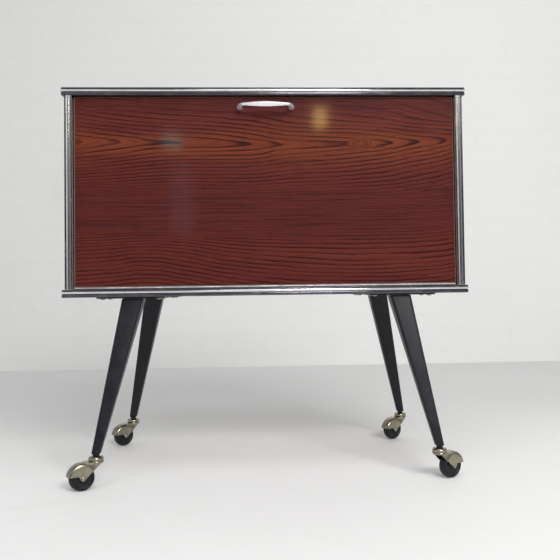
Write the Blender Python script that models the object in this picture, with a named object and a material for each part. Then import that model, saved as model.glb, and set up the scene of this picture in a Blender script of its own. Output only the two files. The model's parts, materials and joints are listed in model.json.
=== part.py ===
"""Drop-front sewing box on splayed legs and hooded casters.

A laminated case stands on four tapered legs with casters.  Its front is a flap that is hinged along the
bottom edge.  Steel arms on the flap and a second pair of arms on the case carry three trays between them
as parallelograms, so the trays rise, step forward and stay level while the flap opens by 90 degrees.

Units are metres, +Z is up, -Y is the front and +X is the viewer's right.
"""

import math

import bmesh
import bpy
from mathutils import Matrix, Vector

# ---------------------------------------------------------------- driving dimensions
GAP = 0.0003                    # between pieces that touch
WIDTH = 0.570                   # over the edge bands
DEPTH = 0.250                   # over the edge bands
CASE_BOTTOM = 0.2560            # underside of the lower edge band above the floor
CASE_TOP = 0.5490
BOARD = 0.010                   # thickness of the laminated boards
BAND_HEIGHT = 0.011             # metal edge bands
BAND_PROUD = 0.005              # how far a band stands out from its board

BOARD_X = WIDTH / 2 - BAND_PROUD
BOARD_Y = DEPTH / 2 - BAND_PROUD
FLOOR_LOW = CASE_BOTTOM + (BAND_HEIGHT - BOARD) / 2
FLOOR_HIGH = FLOOR_LOW + BOARD
ROOF_HIGH = CASE_TOP - (BAND_HEIGHT - BOARD) / 2
ROOF_LOW = ROOF_HIGH - BOARD
SIDE_IN = BOARD_X - BOARD       # inner face of the side boards
SIDE_LOW = CASE_BOTTOM + BAND_HEIGHT + GAP
SIDE_HIGH = CASE_TOP - BAND_HEIGHT - GAP
BACK_IN = 0.1150                # inner face of the back board
BACK_THICK = 0.004

# hinge and flap; arm and tray places are given from the hinge line as (behind, above)
KNUCKLE_R = 0.0015
LEAF = 0.0007                   # thickness of the hinge's sheet
PIN_BORE_R = 0.0009
HINGE_PIN_R = 0.00055
KNUCKLES = 15
LEAF_DEPTH = 0.0090
FLAP_RECESS = 0.009             # flap face behind the front of the bands
FLAP_THICK = 0.010
FLAP_X = 0.2685
FLAP_TOP = ROOF_LOW - 0.0012
FLAP_FACE_Y = -DEPTH / 2 + FLAP_RECESS
HINGE_Y = FLAP_FACE_Y + 0.0006
HINGE_Z = FLOOR_HIGH + GAP + KNUCKLE_R
FLAP_IN_Y = FLAP_FACE_Y + FLAP_THICK
FLAP_BOTTOM = HINGE_Z + KNUCKLE_R + GAP

# parallelogram arms
PIN_FIRST = (0.045, 0.030)      # lower tray's front pin
PIN_STEP = 0.060                # each tray's pins lie this much further behind and above
REAR_SHIFT = (0.052, 0.014)     # from a front pin to its rear pin, and from the hinge to the rear pivot
ARM_X = 0.2625                  # inner face of the arms
ARM_THICK = 0.002
ARM_HALF = 0.007
PIN_R = 0.0025
PIN_HOLE_R = 0.0029
PIN_HEAD_R = 0.0045

# trays
TRAY_NAMES = ("lower", "middle", "upper")
TRAY_X = 0.2605
TRAY_FRONT = 0.0235             # behind the hinge line; its low corner just swings past the arms' feet
TRAY_BACK = 0.222
TRAY_FIRST = 0.006              # lower tray's underside above the hinge line
TRAY_HEIGHT = 0.057
TRAY_WALL = 0.003
DIVIDER = 0.0025

# handle
HANDLE_Z = 0.5221
HANDLE_OUT = 0.0215             # bar's centre in front of the flap
HANDLE_FOOT_X = 0.0368
HANDLE_BEND_X = 0.0322

# legs: centres at the plates and at the feet
LEG_TOP = (0.189, 0.100)
FOOT = (0.2335, 0.145)
LEG_TOP_HALF = 0.015
LEG_FOOT_HALF = 0.0058
LEG_WALL = 0.0015
LEG_FOOT_Z = 0.0460
PLATE_THICK = 0.0022
PLATE_CENTRE = (0.1925, 0.082)
PLATE_HALF = (0.0475, 0.034)

# casters
WHEEL_R = 0.0170
WHEEL_HALF = 0.0065
TRAIL = 0.0195                  # axle behind the swivel line
SOCKET_R = 0.0103
SOCKET_LOW = 0.0379
SOCKET_HIGH = 0.0438            # its domed top, which meets the leg's neck
NECK_HALF = 0.0043
STEM_R = 0.0030
KINGPIN_R = 0.0025
HOOD_R = 0.0199                 # outside of the arch over the wheel
HOOD_SHEET = 0.0016
HOOD_HALF = 0.0090
FLANGE_R = 0.0101
FLANGE_TOP = SOCKET_LOW - GAP
FLANGE_LOW = 0.0347
AXLE_R = 0.0015
AXLE_HOLE_R = 0.0019
CASTERS = {                     # name: (side, end, direction the wheel trails in, degrees from +X)
    "front_left": (-1, -1, 208.0),
    "front_right": (1, -1, 31.0),
    "rear_left": (-1, 1, 221.0),
    "rear_right": (1, 1, 213.0),
}

# The casters reach further to the front than to the back, and the frame's origin is under the middle.
FRONT_REACH = (TRAIL + HOOD_R) * math.sin(math.radians(28)) + HOOD_HALF * math.cos(math.radians(28))
SHIFT_Y = (FRONT_REACH - SOCKET_R) / 2

# ---------------------------------------------------------------- materials
MATERIALS = {                   # name: (colour, roughness, metallic)
    "rosewood_laminate": ((0.115, 0.030, 0.022), 0.28, 0.0),
    "polished_band": ((0.80, 0.80, 0.80), 0.12, 1.0),
    "black_enamel": ((0.022, 0.024, 0.030), 0.40, 0.0),
    "antique_brass": ((0.42, 0.36, 0.22), 0.30, 1.0),
    "black_rubber": ((0.020, 0.020, 0.022), 0.60, 0.0),
    "zinc_steel": ((0.55, 0.56, 0.58), 0.35, 1.0),
    "tray_plastic": ((0.78, 0.70, 0.52), 0.42, 0.0),
    "hardboard": ((0.25, 0.13, 0.07), 0.75, 0.0),
    "catch_plastic": ((0.16, 0.07, 0.04), 0.50, 0.0),
}


def material(name):
    made = bpy.data.materials.get(name)
    if made:
        return made
    colour, roughness, metallic = MATERIALS[name]
    made = bpy.data.materials.new(name)
    made.use_nodes = True
    shader = made.node_tree.nodes["Principled BSDF"]
    shader.inputs["Base Color"].default_value = (*colour, 1.0)
    shader.inputs["Roughness"].default_value = roughness
    shader.inputs["Metallic"].default_value = metallic
    made.diffuse_color = (*colour, 1.0)
    return made


# ---------------------------------------------------------------- modelling tools
def empty(name, place, parent=None):
    made = bpy.data.objects.new(name, None)
    bpy.context.collection.objects.link(made)
    made.location = place
    made.parent = parent
    return made


def finish(name, bm, mat=None, parent=None, smooth=None):
    """Turn a bmesh whose points are in its parent's space into an object."""
    bmesh.ops.recalc_face_normals(bm, faces=bm.faces)
    mesh = bpy.data.meshes.new(name)
    bm.to_mesh(mesh)
    bm.free()
    made = bpy.data.objects.new(name, mesh)
    bpy.context.collection.objects.link(made)
    made.parent = parent
    if mat:
        mesh.materials.append(material(mat))
    if smooth:
        mesh.shade_smooth()
        mesh.set_sharp_from_angle(angle=math.radians(smooth))
    return made


def add_box(bm, low, high):
    size = [b - a for a, b in zip(low, high)]
    middle = [(a + b) / 2 for a, b in zip(low, high)]
    place = Matrix.Translation(middle) @ Matrix.Diagonal((*size, 1.0))
    bmesh.ops.create_cube(bm, size=1.0, matrix=place)


def round_upright(bm, radius):
    """Round the upright edges of a box."""
    upright = [e for e in bm.edges if abs(e.verts[0].co.z - e.verts[1].co.z) > 1e-6]
    bmesh.ops.bevel(bm, geom=upright, offset=radius, segments=3, profile=0.5, affect="EDGES")


def add_prism(bm, outline, low, high, to_space):
    """Extrude a 2-D outline from low to high; to_space turns (a, b, level) into a point."""
    rings = [[bm.verts.new(to_space(a, b, level)) for a, b in outline] for level in (low, high)]
    bm.faces.new(rings[0][::-1])
    bm.faces.new(rings[1])
    count = len(outline)
    for i in range(count):
        j = (i + 1) % count
        bm.faces.new((rings[0][i], rings[0][j], rings[1][j], rings[1][i]))


def along_x(a, b, level):
    return (level, a, b)


def along_y(a, b, level):
    return (a, level, b)


def add_lathe(bm, profile, segments, place=Matrix.Identity(4), turn=0.0):
    """Spin a closed (radius, height) profile around the local Z axis; points on the axis are shared."""
    loops = []
    for radius, height in profile:
        if radius == 0.0:
            loops.append([bm.verts.new(place @ Vector((0.0, 0.0, height)))] * segments)
            continue
        angles = [turn + 2 * math.pi * i / segments for i in range(segments)]
        points = [Vector((radius * math.cos(t), radius * math.sin(t), height)) for t in angles]
        loops.append([bm.verts.new(place @ point) for point in points])
    closed = profile[0][0] > 0.0
    pairs = list(zip(loops, loops[1:])) + ([(loops[-1], loops[0])] if closed else [])
    for below, above in pairs:
        for i in range(segments):
            j = (i + 1) % segments
            corners = []
            for vert in (below[i], below[j], above[j], above[i]):
                if vert not in corners:
                    corners.append(vert)
            if len(corners) > 2:
                bm.faces.new(corners)


def on_x(x, y, z, side=1):
    """Place a lathe's axis along +X (side 1) or -X (side -1) with its zero at the point."""
    return Matrix.Translation((x, y, z)) @ Matrix.Rotation(side * math.pi / 2, 4, "Y")


def boolean(target, operation, name, bm):
    """Cut or add the bmesh to the target with an exact boolean; the tool stays as a wire guide."""
    tool = finish(name, bm, parent=target.parent)
    tool.hide_render = True
    tool.display_type = "WIRE"
    step = target.modifiers.new(name, "BOOLEAN")
    step.operation = operation
    step.solver = "EXACT"
    step.object = tool


def bevel(target, width):
    step = target.modifiers.new("bevel", "BEVEL")
    step.width = width
    step.segments = 1
    step.limit_method = "ANGLE"
    step.angle_limit = math.radians(30.0)


def arc(centre, radius, start, end, steps):
    angles = [math.radians(start + (end - start) * i / steps) for i in range(steps + 1)]
    return [(centre[0] + radius * math.cos(t), centre[1] + radius * math.sin(t)) for t in angles]


def bar_outline(points, half, cap_steps=6):
    """Outline of a flat bar with round ends whose centre line runs through the points."""
    line = [Vector(p) for p in points]
    ways = [(b - a).normalized() for a, b in zip(line, line[1:])]
    left, right = [], []
    for i, point in enumerate(line[1:-1], start=1):
        mean = (ways[i - 1] + ways[i]).normalized()
        across = Vector((-mean.y, mean.x)) * (half / mean.dot(ways[i]))
        left.append(tuple(point + across))
        right.append(tuple(point - across))
    heading = [math.degrees(math.atan2(way.y, way.x)) for way in (ways[0], ways[-1])]
    first = arc(points[0], half, heading[0] + 90, heading[0] + 270, cap_steps)
    last = arc(points[-1], half, heading[1] - 90, heading[1] + 90, cap_steps)
    return first + right + last + left[::-1]


def from_hinge(behind, above):
    return (HINGE_Y + behind, HINGE_Z + above)


# ---------------------------------------------------------------- case
def edge_band(name, low, parent):
    """Half-round metal band, mitred at the corners, around the edge of the top or bottom board."""
    middle = low + BAND_HEIGHT / 2
    bulge = arc((0.0, 0.0), 1.0, -90, 90, 8)
    profile = [(GAP + (BAND_PROUD - GAP) * c, middle + BAND_HEIGHT / 2 * s) for c, s in bulge]
    bm = bmesh.new()
    loops = []
    for side, end in ((1, 1), (-1, 1), (-1, -1), (1, -1)):
        corner = [(side * (BOARD_X + out), end * (BOARD_Y + out), z) for out, z in profile]
        loops.append([bm.verts.new(point) for point in corner])
    for near, far in zip(loops, loops[1:] + loops[:1]):
        for i in range(len(profile)):
            j = (i + 1) % len(profile)
            bm.faces.new((near[i], far[i], far[j], near[j]))
    finish(name, bm, "polished_band", parent, smooth=50)


def board(name, low, high, parent, mat="rosewood_laminate"):
    bm = bmesh.new()
    add_box(bm, low, high)
    return finish(name, bm, mat, parent)


def case_boards(parent):
    board("top_panel", (-BOARD_X, -BOARD_Y, ROOF_LOW), (BOARD_X, BOARD_Y, ROOF_HIGH), parent)
    board("bottom_panel", (-BOARD_X, -BOARD_Y, FLOOR_LOW), (BOARD_X, BOARD_Y, FLOOR_HIGH), parent)
    for name, side in (("left", -1), ("right", 1)):
        xs = sorted((side * SIDE_IN, side * BOARD_X))
        board(f"{name}_side_panel", (xs[0], -BOARD_Y + GAP, SIDE_LOW), (xs[1], BOARD_Y - GAP, SIDE_HIGH),
              parent)
        front_strip(f"{name}_front_strip", side, parent)
    board("back_panel", (-SIDE_IN + GAP, BACK_IN, FLOOR_HIGH + GAP),
          (SIDE_IN - GAP, BACK_IN + BACK_THICK, ROOF_LOW - GAP), parent, mat="hardboard")
    edge_band("top_edge_band", CASE_TOP - BAND_HEIGHT, parent)
    edge_band("bottom_edge_band", CASE_BOTTOM, parent)


def front_strip(name, side, parent):
    """Half-round upright strip on the front edge of a side board, between the two bands."""
    half = (BOARD_X - SIDE_IN + 0.0005) / 2
    centre = side * (BOARD_X - half)
    root = -BOARD_Y
    bulge = arc((0.0, 0.0), 1.0, 180, 360, 8)
    outline = [(centre + half * c, root + (BAND_PROUD - GAP) * s) for c, s in bulge]
    bm = bmesh.new()
    add_prism(bm, outline, SIDE_LOW, SIDE_HIGH, lambda a, b, level: (a, b, level))
    finish(name, bm, "polished_band", parent, smooth=50)


def hole_profile(radius, low, high):
    return [(0.0, low), (radius, low), (radius, high), (0.0, high)]


def magnet_catch(parent):
    """Plastic catch body under the top board with two steel pole plates that meet the flap's plate."""
    front = FLAP_IN_Y + 0.0016
    low, high = ROOF_LOW - 0.0090, ROOF_LOW - GAP
    bm = bmesh.new()
    add_box(bm, (-0.019, front + 0.001, low), (0.019, front + 0.0150, high))
    body = finish("magnet_catch", bm, "catch_plastic", parent)
    poles = bmesh.new()
    for z in (low + 0.0022, high - 0.0034):
        add_box(poles, (-0.015, front, z), (0.015, front + 0.006, z + 0.0012))
    boolean(body, "UNION", "catch_poles", poles)


# ---------------------------------------------------------------- hinge
def curl_outline(sign):
    """Sheet rolled round the pin, with the start of its leaf; sign -1 lies below the pin, +1 above."""
    tab = 0.0035
    lip = math.degrees(math.asin((KNUCKLE_R - LEAF) / PIN_BORE_R))
    inner = arc((0.0, 0.0), PIN_BORE_R, -lip, -348, 7)
    outer = arc((0.0, 0.0), KNUCKLE_R, 12, 270, 7)
    sheet = [(tab, -KNUCKLE_R), (tab, -KNUCKLE_R + LEAF)]
    points = sheet + inner + outer
    return [from_hinge(a, -sign * b) for a, b in points]


def hinge_leaf(name, sign, first, parent):
    """One leaf of the long hinge; it owns every second knuckle, counted from first."""
    pitch = 2 * FLAP_X / KNUCKLES
    near = HINGE_Z + sign * (KNUCKLE_R - LEAF + 0.00005)
    far = HINGE_Z + sign * (KNUCKLE_R - 0.00005)
    bm = bmesh.new()
    add_box(bm, (-FLAP_X, HINGE_Y + KNUCKLE_R + GAP, min(near, far)),
            (FLAP_X, HINGE_Y + LEAF_DEPTH, max(near, far)))
    leaf = finish(name, bm, "zinc_steel", parent)
    curls = bmesh.new()
    for index in range(first, KNUCKLES, 2):
        start = -FLAP_X + index * pitch
        add_prism(curls, curl_outline(sign), start + GAP, start + pitch - GAP, along_x)
    boolean(leaf, "UNION", name + "_knuckles", curls)


def hinge_pin(parent):
    bm = bmesh.new()
    length = 2 * FLAP_X - 0.002
    add_lathe(bm, hole_profile(HINGE_PIN_R, 0.0, length), 8, on_x(-length / 2, HINGE_Y, HINGE_Z))
    finish("hinge_pin", bm, "zinc_steel", parent, smooth=50)


# ---------------------------------------------------------------- flap
def flap_board(parent):
    panel = board("flap_panel", (-FLAP_X, FLAP_FACE_Y, FLAP_BOTTOM), (FLAP_X, FLAP_IN_Y, FLAP_TOP), parent)
    bevel(panel, 0.0006)
    holes = bmesh.new()
    for side in (-1, 1):
        add_lathe(holes, hole_profile(0.0024, -0.001, FLAP_THICK + 0.001), 12,
                  handle_axis(side, FLAP_FACE_Y))
    boolean(panel, "DIFFERENCE", "handle_screw_holes", holes)
    plate_low = FLAP_TOP - 0.0115
    board("catch_plate", (-0.016, FLAP_IN_Y + GAP, plate_low), (0.016, FLAP_IN_Y + 0.0012, FLAP_TOP - 0.001),
          parent, mat="zinc_steel")


def handle_axis(side, y):
    """A lathe's axis along +Y through a foot of the handle, with its zero at y."""
    return Matrix.Translation((side * HANDLE_FOOT_X, y, HANDLE_Z)) @ Matrix.Rotation(-math.pi / 2, 4, "X")


def handle(parent):
    """Bow handle: a lens-shaped bar whose ends sweep outwards and back to two feet on the flap."""
    face = FLAP_FACE_Y - GAP
    half_path = [                        # (x, distance in front of the flap, half height, half thickness)
        (HANDLE_FOOT_X, 0.0000, 0.0036, 0.0042),
        (HANDLE_FOOT_X - 0.0004, 0.0055, 0.0033, 0.0037),
        (HANDLE_FOOT_X - 0.0013, 0.0115, 0.0029, 0.0031),
        (HANDLE_BEND_X + 0.0016, 0.0165, 0.0024, 0.0026),
        (HANDLE_BEND_X - 0.0022, 0.0198, 0.0020, 0.0022),
        (HANDLE_BEND_X - 0.0120, 0.0208, 0.0027, 0.0024),
        (HANDLE_BEND_X - 0.0220, HANDLE_OUT - 0.0001, 0.0033, 0.0025),
        (0.0, HANDLE_OUT, 0.0036, 0.0026),
    ]
    path = half_path + [(-x, out, tall, thick) for x, out, tall, thick in half_path[-2::-1]]
    bm = bmesh.new()
    loops = []
    for i, (x, out, tall, thick) in enumerate(path):
        before, after = path[max(i - 1, 0)], path[min(i + 1, len(path) - 1)]
        way = Vector((after[0] - before[0], before[1] - after[1], 0.0)).normalized()
        if i in (0, len(path) - 1):
            way = Vector((0.0, -1.0 if i == 0 else 1.0, 0.0))
        across = Vector((-way.y, way.x, 0.0))
        centre = Vector((x, face - out, HANDLE_Z))
        ring = []
        for c, s in arc((0.0, 0.0), 1.0, 0, 315, 7):
            ring.append(bm.verts.new(centre + across * (thick * c) + Vector((0, 0, tall * s))))
        loops.append(ring)
    for near, far in zip(loops, loops[1:]):
        for i in range(8):
            j = (i + 1) % 8
            bm.faces.new((near[i], near[j], far[j], far[i]))
    bm.faces.new(loops[0][::-1])
    bm.faces.new(loops[-1])
    bow = finish("flap_handle", bm, "polished_band", parent, smooth=60)
    sockets = bmesh.new()
    for side in (-1, 1):
        add_lathe(sockets, hole_profile(0.0021, -0.0060, 0.002), 10, handle_axis(side, face))
    boolean(bow, "DIFFERENCE", "handle_sockets", sockets)


def handle_screw(name, side, parent):
    inside = FLAP_THICK + GAP
    profile = [(0.0, -0.0055), (0.0017, -0.0055), (0.0017, inside), (0.0040, inside),
               (0.0034, inside + 0.0014), (0.0, inside + 0.0016)]
    bm = bmesh.new()
    add_lathe(bm, profile, 12, handle_axis(side, FLAP_FACE_Y))
    finish(name, bm, "zinc_steel", parent, smooth=40)


# ---------------------------------------------------------------- tray arms
def front_pins():
    return [(PIN_FIRST[0] + i * PIN_STEP, PIN_FIRST[1] + i * PIN_STEP) for i in range(len(TRAY_NAMES))]


def rear_pins():
    return [(a + REAR_SHIFT[0], b + REAR_SHIFT[1]) for a, b in front_pins()]


def arm_holes(arm, name, side, places):
    holes = bmesh.new()
    start = ARM_X - 0.002
    for a, b in places:
        y, z = from_hinge(a, b)
        add_lathe(holes, hole_profile(PIN_HOLE_R, 0.0, 0.006), 12, on_x(side * start, y, z, side))
    boolean(arm, "DIFFERENCE", name + "_holes", holes)


def side_span(side, near, far):
    return sorted((side * near, side * far))


def flap_arm(name, side, parent):
    """Steel arm screwed to the flap's inner face, with a bent foot and one hole for each tray."""
    foot_y = FLAP_THICK - 0.0006 + GAP
    foot_low, foot_high = 0.0060, 0.0540
    pins = front_pins()
    bar = bar_outline([pins[0], pins[-1]], ARM_HALF)
    lower, upper = bar[6], bar[0]
    end_cap = arc(pins[-1], ARM_HALF, -45, 135, 6)
    outline = [(foot_y, foot_low), lower] + end_cap + [upper, (foot_y, foot_high)]
    bm = bmesh.new()
    xs = side_span(side, ARM_X, ARM_X + ARM_THICK)
    add_prism(bm, [from_hinge(a, b) for a, b in outline], xs[0], xs[1], along_x)
    arm = finish(name, bm, "zinc_steel", parent)
    foot = bmesh.new()
    fx = side_span(side, ARM_X - 0.0155, ARM_X + ARM_THICK - 0.0002)
    y, low = from_hinge(foot_y, foot_low + 0.001)
    add_box(foot, (fx[0], y + 0.0001, low), (fx[1], y + ARM_THICK, HINGE_Z + foot_high - 0.001))
    boolean(arm, "UNION", name + "_foot", foot)
    arm_holes(arm, name, side, pins)


def rear_arm(name, side, parent):
    """Steel arm between its pivot on the case and the trays' rear pins, parallel to the flap's arm."""
    places = [REAR_SHIFT] + rear_pins()
    bm = bmesh.new()
    xs = side_span(side, ARM_X, ARM_X + ARM_THICK)
    outline = bar_outline([places[0], places[1], places[-1]], ARM_HALF)
    add_prism(bm, [from_hinge(a, b) for a, b in outline], xs[0], xs[1], along_x)
    arm_holes(finish(name, bm, "zinc_steel", parent), name, side, places)


def pivot_bracket(name, side, parent):
    """Plate on the side board with the stud that the rear arm turns on."""
    y, z = from_hinge(*REAR_SHIFT)
    bm = bmesh.new()
    xs = side_span(side, SIDE_IN - GAP - 0.0015, SIDE_IN - GAP)
    add_box(bm, (xs[0], y - 0.017, z - 0.0085), (xs[1], y + 0.017, z + 0.0115))
    plate = finish(name, bm, "zinc_steel", parent)
    stud = bmesh.new()
    depth = SIDE_IN - GAP - 0.0005
    head = depth - (TRAY_X + 0.0006)
    arm_in = depth - (ARM_X - 0.0004)
    arm_out = depth - (ARM_X + ARM_THICK + 0.0004)
    profile = [(0.0, 0.0), (0.0046, 0.0), (0.0046, arm_out), (PIN_R, arm_out), (PIN_R, arm_in),
               (0.0041, arm_in), (0.0037, head), (0.0, head)]
    add_lathe(stud, profile, 12, on_x(side * depth, y, z, -side))
    boolean(plate, "UNION", name + "_stud", stud)


# ---------------------------------------------------------------- trays
def tray_low(index):
    return TRAY_FIRST + index * PIN_STEP


def tray(index, parent):
    """Open moulded tray with four pivot pins fixed in its ends."""
    name = f"{TRAY_NAMES[index]}_tray"
    front, low = from_hinge(TRAY_FRONT, tray_low(index))
    back, high = from_hinge(TRAY_BACK, tray_low(index) + TRAY_HEIGHT)
    bm = bmesh.new()
    add_box(bm, (-TRAY_X, front, low), (TRAY_X, back, high))
    round_upright(bm, 0.006)
    shell = finish(name, bm, "tray_plastic", parent)
    hollow = bmesh.new()
    add_box(hollow, (-TRAY_X + TRAY_WALL, front + TRAY_WALL, low + TRAY_WALL),
            (TRAY_X - TRAY_WALL, back - TRAY_WALL, high + 0.01))
    round_upright(hollow, 0.004)
    boolean(shell, "DIFFERENCE", name + "_hollow", hollow)
    pins = bmesh.new()
    for side in (-1, 1):
        for a, b in (front_pins()[index], rear_pins()[index]):
            y, z = from_hinge(a, b)
            add_lathe(pins, pin_profile(), 10, on_x(side * (TRAY_X - TRAY_WALL / 2), y, z, side))
    boolean(shell, "UNION", name + "_pins", pins)


def pin_profile():
    """Shouldered pin from the middle of a tray's end wall to its riveted head outside the arm."""
    root = TRAY_X - TRAY_WALL / 2
    shoulder, arm_out = ARM_X - GAP - root, ARM_X + ARM_THICK + GAP - root
    return [
        (0.0, 0.0), (PIN_HEAD_R, 0.0), (PIN_HEAD_R, shoulder), (PIN_R, shoulder), (PIN_R, arm_out),
        (PIN_HEAD_R, arm_out), (PIN_HEAD_R - 0.001, arm_out + 0.0016), (0.0, arm_out + 0.0016),
    ]


# Each tray's dividers: (along X or across it, place and, if across, its front end; as shares of the inner size).
DIVIDERS = (
    (("across", 0.50, 0.0),),
    (("along", 0.50, 0.0), ("across", 0.34, 0.0), ("across", 0.66, 0.0)),
    (("along", 0.42, 0.0), ("across", 0.25, 0.42), ("across", 0.50, 0.42), ("across", 0.75, 0.42)),
)


def dividers(index, parent):
    """Loose plastic insert that divides a tray into compartments."""
    half_x = TRAY_X - TRAY_WALL - GAP
    front = HINGE_Y + TRAY_FRONT + TRAY_WALL + GAP
    back = HINGE_Y + TRAY_BACK - TRAY_WALL - GAP
    low = HINGE_Z + tray_low(index) + TRAY_WALL + GAP
    high = HINGE_Z + tray_low(index) + TRAY_HEIGHT - 0.008
    base, crossing = bmesh.new(), bmesh.new()
    for number, (kind, place, start) in enumerate(DIVIDERS[index]):
        if kind == "along":
            y = front + place * (back - front)
            low_corner, high_corner = (-half_x, y - DIVIDER / 2), (half_x, y + DIVIDER / 2)
        else:
            x = -half_x + place * 2 * half_x
            low_corner = (x - DIVIDER / 2, front + start * (back - front))
            high_corner = (x + DIVIDER / 2, back)
        drop = 0.0 if number == 0 else 0.0005
        add_box(base if number == 0 else crossing, (*low_corner, low + drop), (*high_corner, high - drop))
    name = f"{TRAY_NAMES[index]}_tray_divider"
    insert = finish(name, base, "tray_plastic", parent)
    if crossing.verts:
        boolean(insert, "UNION", name + "_crossing", crossing)
    else:
        crossing.free()


# ---------------------------------------------------------------- legs
def square_loop(bm, centre, half, z, roundness=0.36):
    """Square with rounded corners at height z."""
    corner = roundness * half
    points = []
    for index, (sx, sy) in enumerate(((1, 1), (-1, 1), (-1, -1), (1, -1))):
        middle = (centre[0] + sx * (half - corner), centre[1] + sy * (half - corner))
        points += arc(middle, corner, 90 * index, 90 * index + 90, 3)
    return [bm.verts.new((x, y, z)) for x, y in points]


def leg(name, side, end, parent):
    """Tapered square tube from the plate down to a round neck on the caster's ring, bored for its stem."""
    top_z = FLOOR_LOW - GAP - PLATE_THICK - GAP
    top = Vector((side * LEG_TOP[0], end * LEG_TOP[1]))
    foot = Vector((side * FOOT[0], end * FOOT[1]))

    def centre(z):
        return foot.lerp(top, (z - LEG_FOOT_Z) / (top_z - LEG_FOOT_Z))

    plug = LEG_FOOT_Z + 0.014
    taper = (LEG_TOP_HALF - LEG_FOOT_HALF) / (top_z - LEG_FOOT_Z)
    plug_half = LEG_FOOT_HALF + taper * (plug - LEG_FOOT_Z) - LEG_WALL
    neck_z = SOCKET_HIGH + GAP
    sections = [                         # (height, half width, roundness)
        (neck_z, NECK_HALF, 0.95), (LEG_FOOT_Z, NECK_HALF, 0.95), (LEG_FOOT_Z + 0.0012, LEG_FOOT_HALF, 0.36),
        (top_z, LEG_TOP_HALF, 0.36), (top_z, LEG_TOP_HALF - LEG_WALL, 0.36), (plug, plug_half, 0.36),
    ]
    bm = bmesh.new()
    loops = [square_loop(bm, centre(max(z, LEG_FOOT_Z)), half, z, roundness) for z, half, roundness in sections]
    for near, far in zip(loops, loops[1:]):
        for i in range(len(near)):
            j = (i + 1) % len(near)
            bm.faces.new((near[i], near[j], far[j], far[i]))
    bm.faces.new(loops[0])
    bm.faces.new(loops[-1])
    tube = finish(name, bm, "black_enamel", parent, smooth=50)
    bore = bmesh.new()
    add_lathe(bore, hole_profile(STEM_R + 0.0004, neck_z - 0.001, LEG_FOOT_Z + 0.0105), 12,
              Matrix.Translation((foot.x, foot.y, 0.0)))
    boolean(tube, "DIFFERENCE", name + "_bore", bore)


def leg_plate(name, side, end, parent):
    bm = bmesh.new()
    x, y = side * PLATE_CENTRE[0], end * PLATE_CENTRE[1]
    high = FLOOR_LOW - GAP
    add_box(bm, (x - PLATE_HALF[0], y - PLATE_HALF[1], high - PLATE_THICK),
            (x + PLATE_HALF[0], y + PLATE_HALF[1], high))
    round_upright(bm, 0.007)
    finish(name, bm, "black_enamel", parent)


# ---------------------------------------------------------------- casters
def caster_socket(name, side, end, parent):
    """Brass ring under the leg, its stem in the leg and the riveted kingpin that the hood turns on."""
    stem_top = LEG_FOOT_Z + 0.0100
    rivet = FLANGE_LOW - GAP
    profile = [
        (0.0, stem_top), (STEM_R, stem_top), (STEM_R, SOCKET_HIGH), (0.0062, SOCKET_HIGH),
        (0.0085, SOCKET_HIGH - 0.0009), (SOCKET_R - 0.0003, SOCKET_HIGH - 0.0023),
        (SOCKET_R, SOCKET_LOW + 0.0024), (SOCKET_R, SOCKET_LOW + 0.0006), (SOCKET_R - 0.0005, SOCKET_LOW),
        (KINGPIN_R, SOCKET_LOW),
        (KINGPIN_R, rivet), (0.0040, rivet), (0.0034, rivet - 0.0016), (0.0, rivet - 0.0016),
    ]
    bm = bmesh.new()
    add_lathe(bm, profile, 16, Matrix.Translation((side * FOOT[0], end * FOOT[1], 0.0)))
    finish(name, bm, "antique_brass", parent, smooth=40)


def rounded_disc(radius, half, rounding):
    """Profile of a disc with a rounded rim, for a lathe."""
    low = arc((radius - rounding, -half + rounding), rounding, -90, 0, 2)
    high = arc((radius - rounding, half - rounding), rounding, 0, 90, 2)
    return [(0.0, -half)] + low + high + [(0.0, half)]


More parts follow.
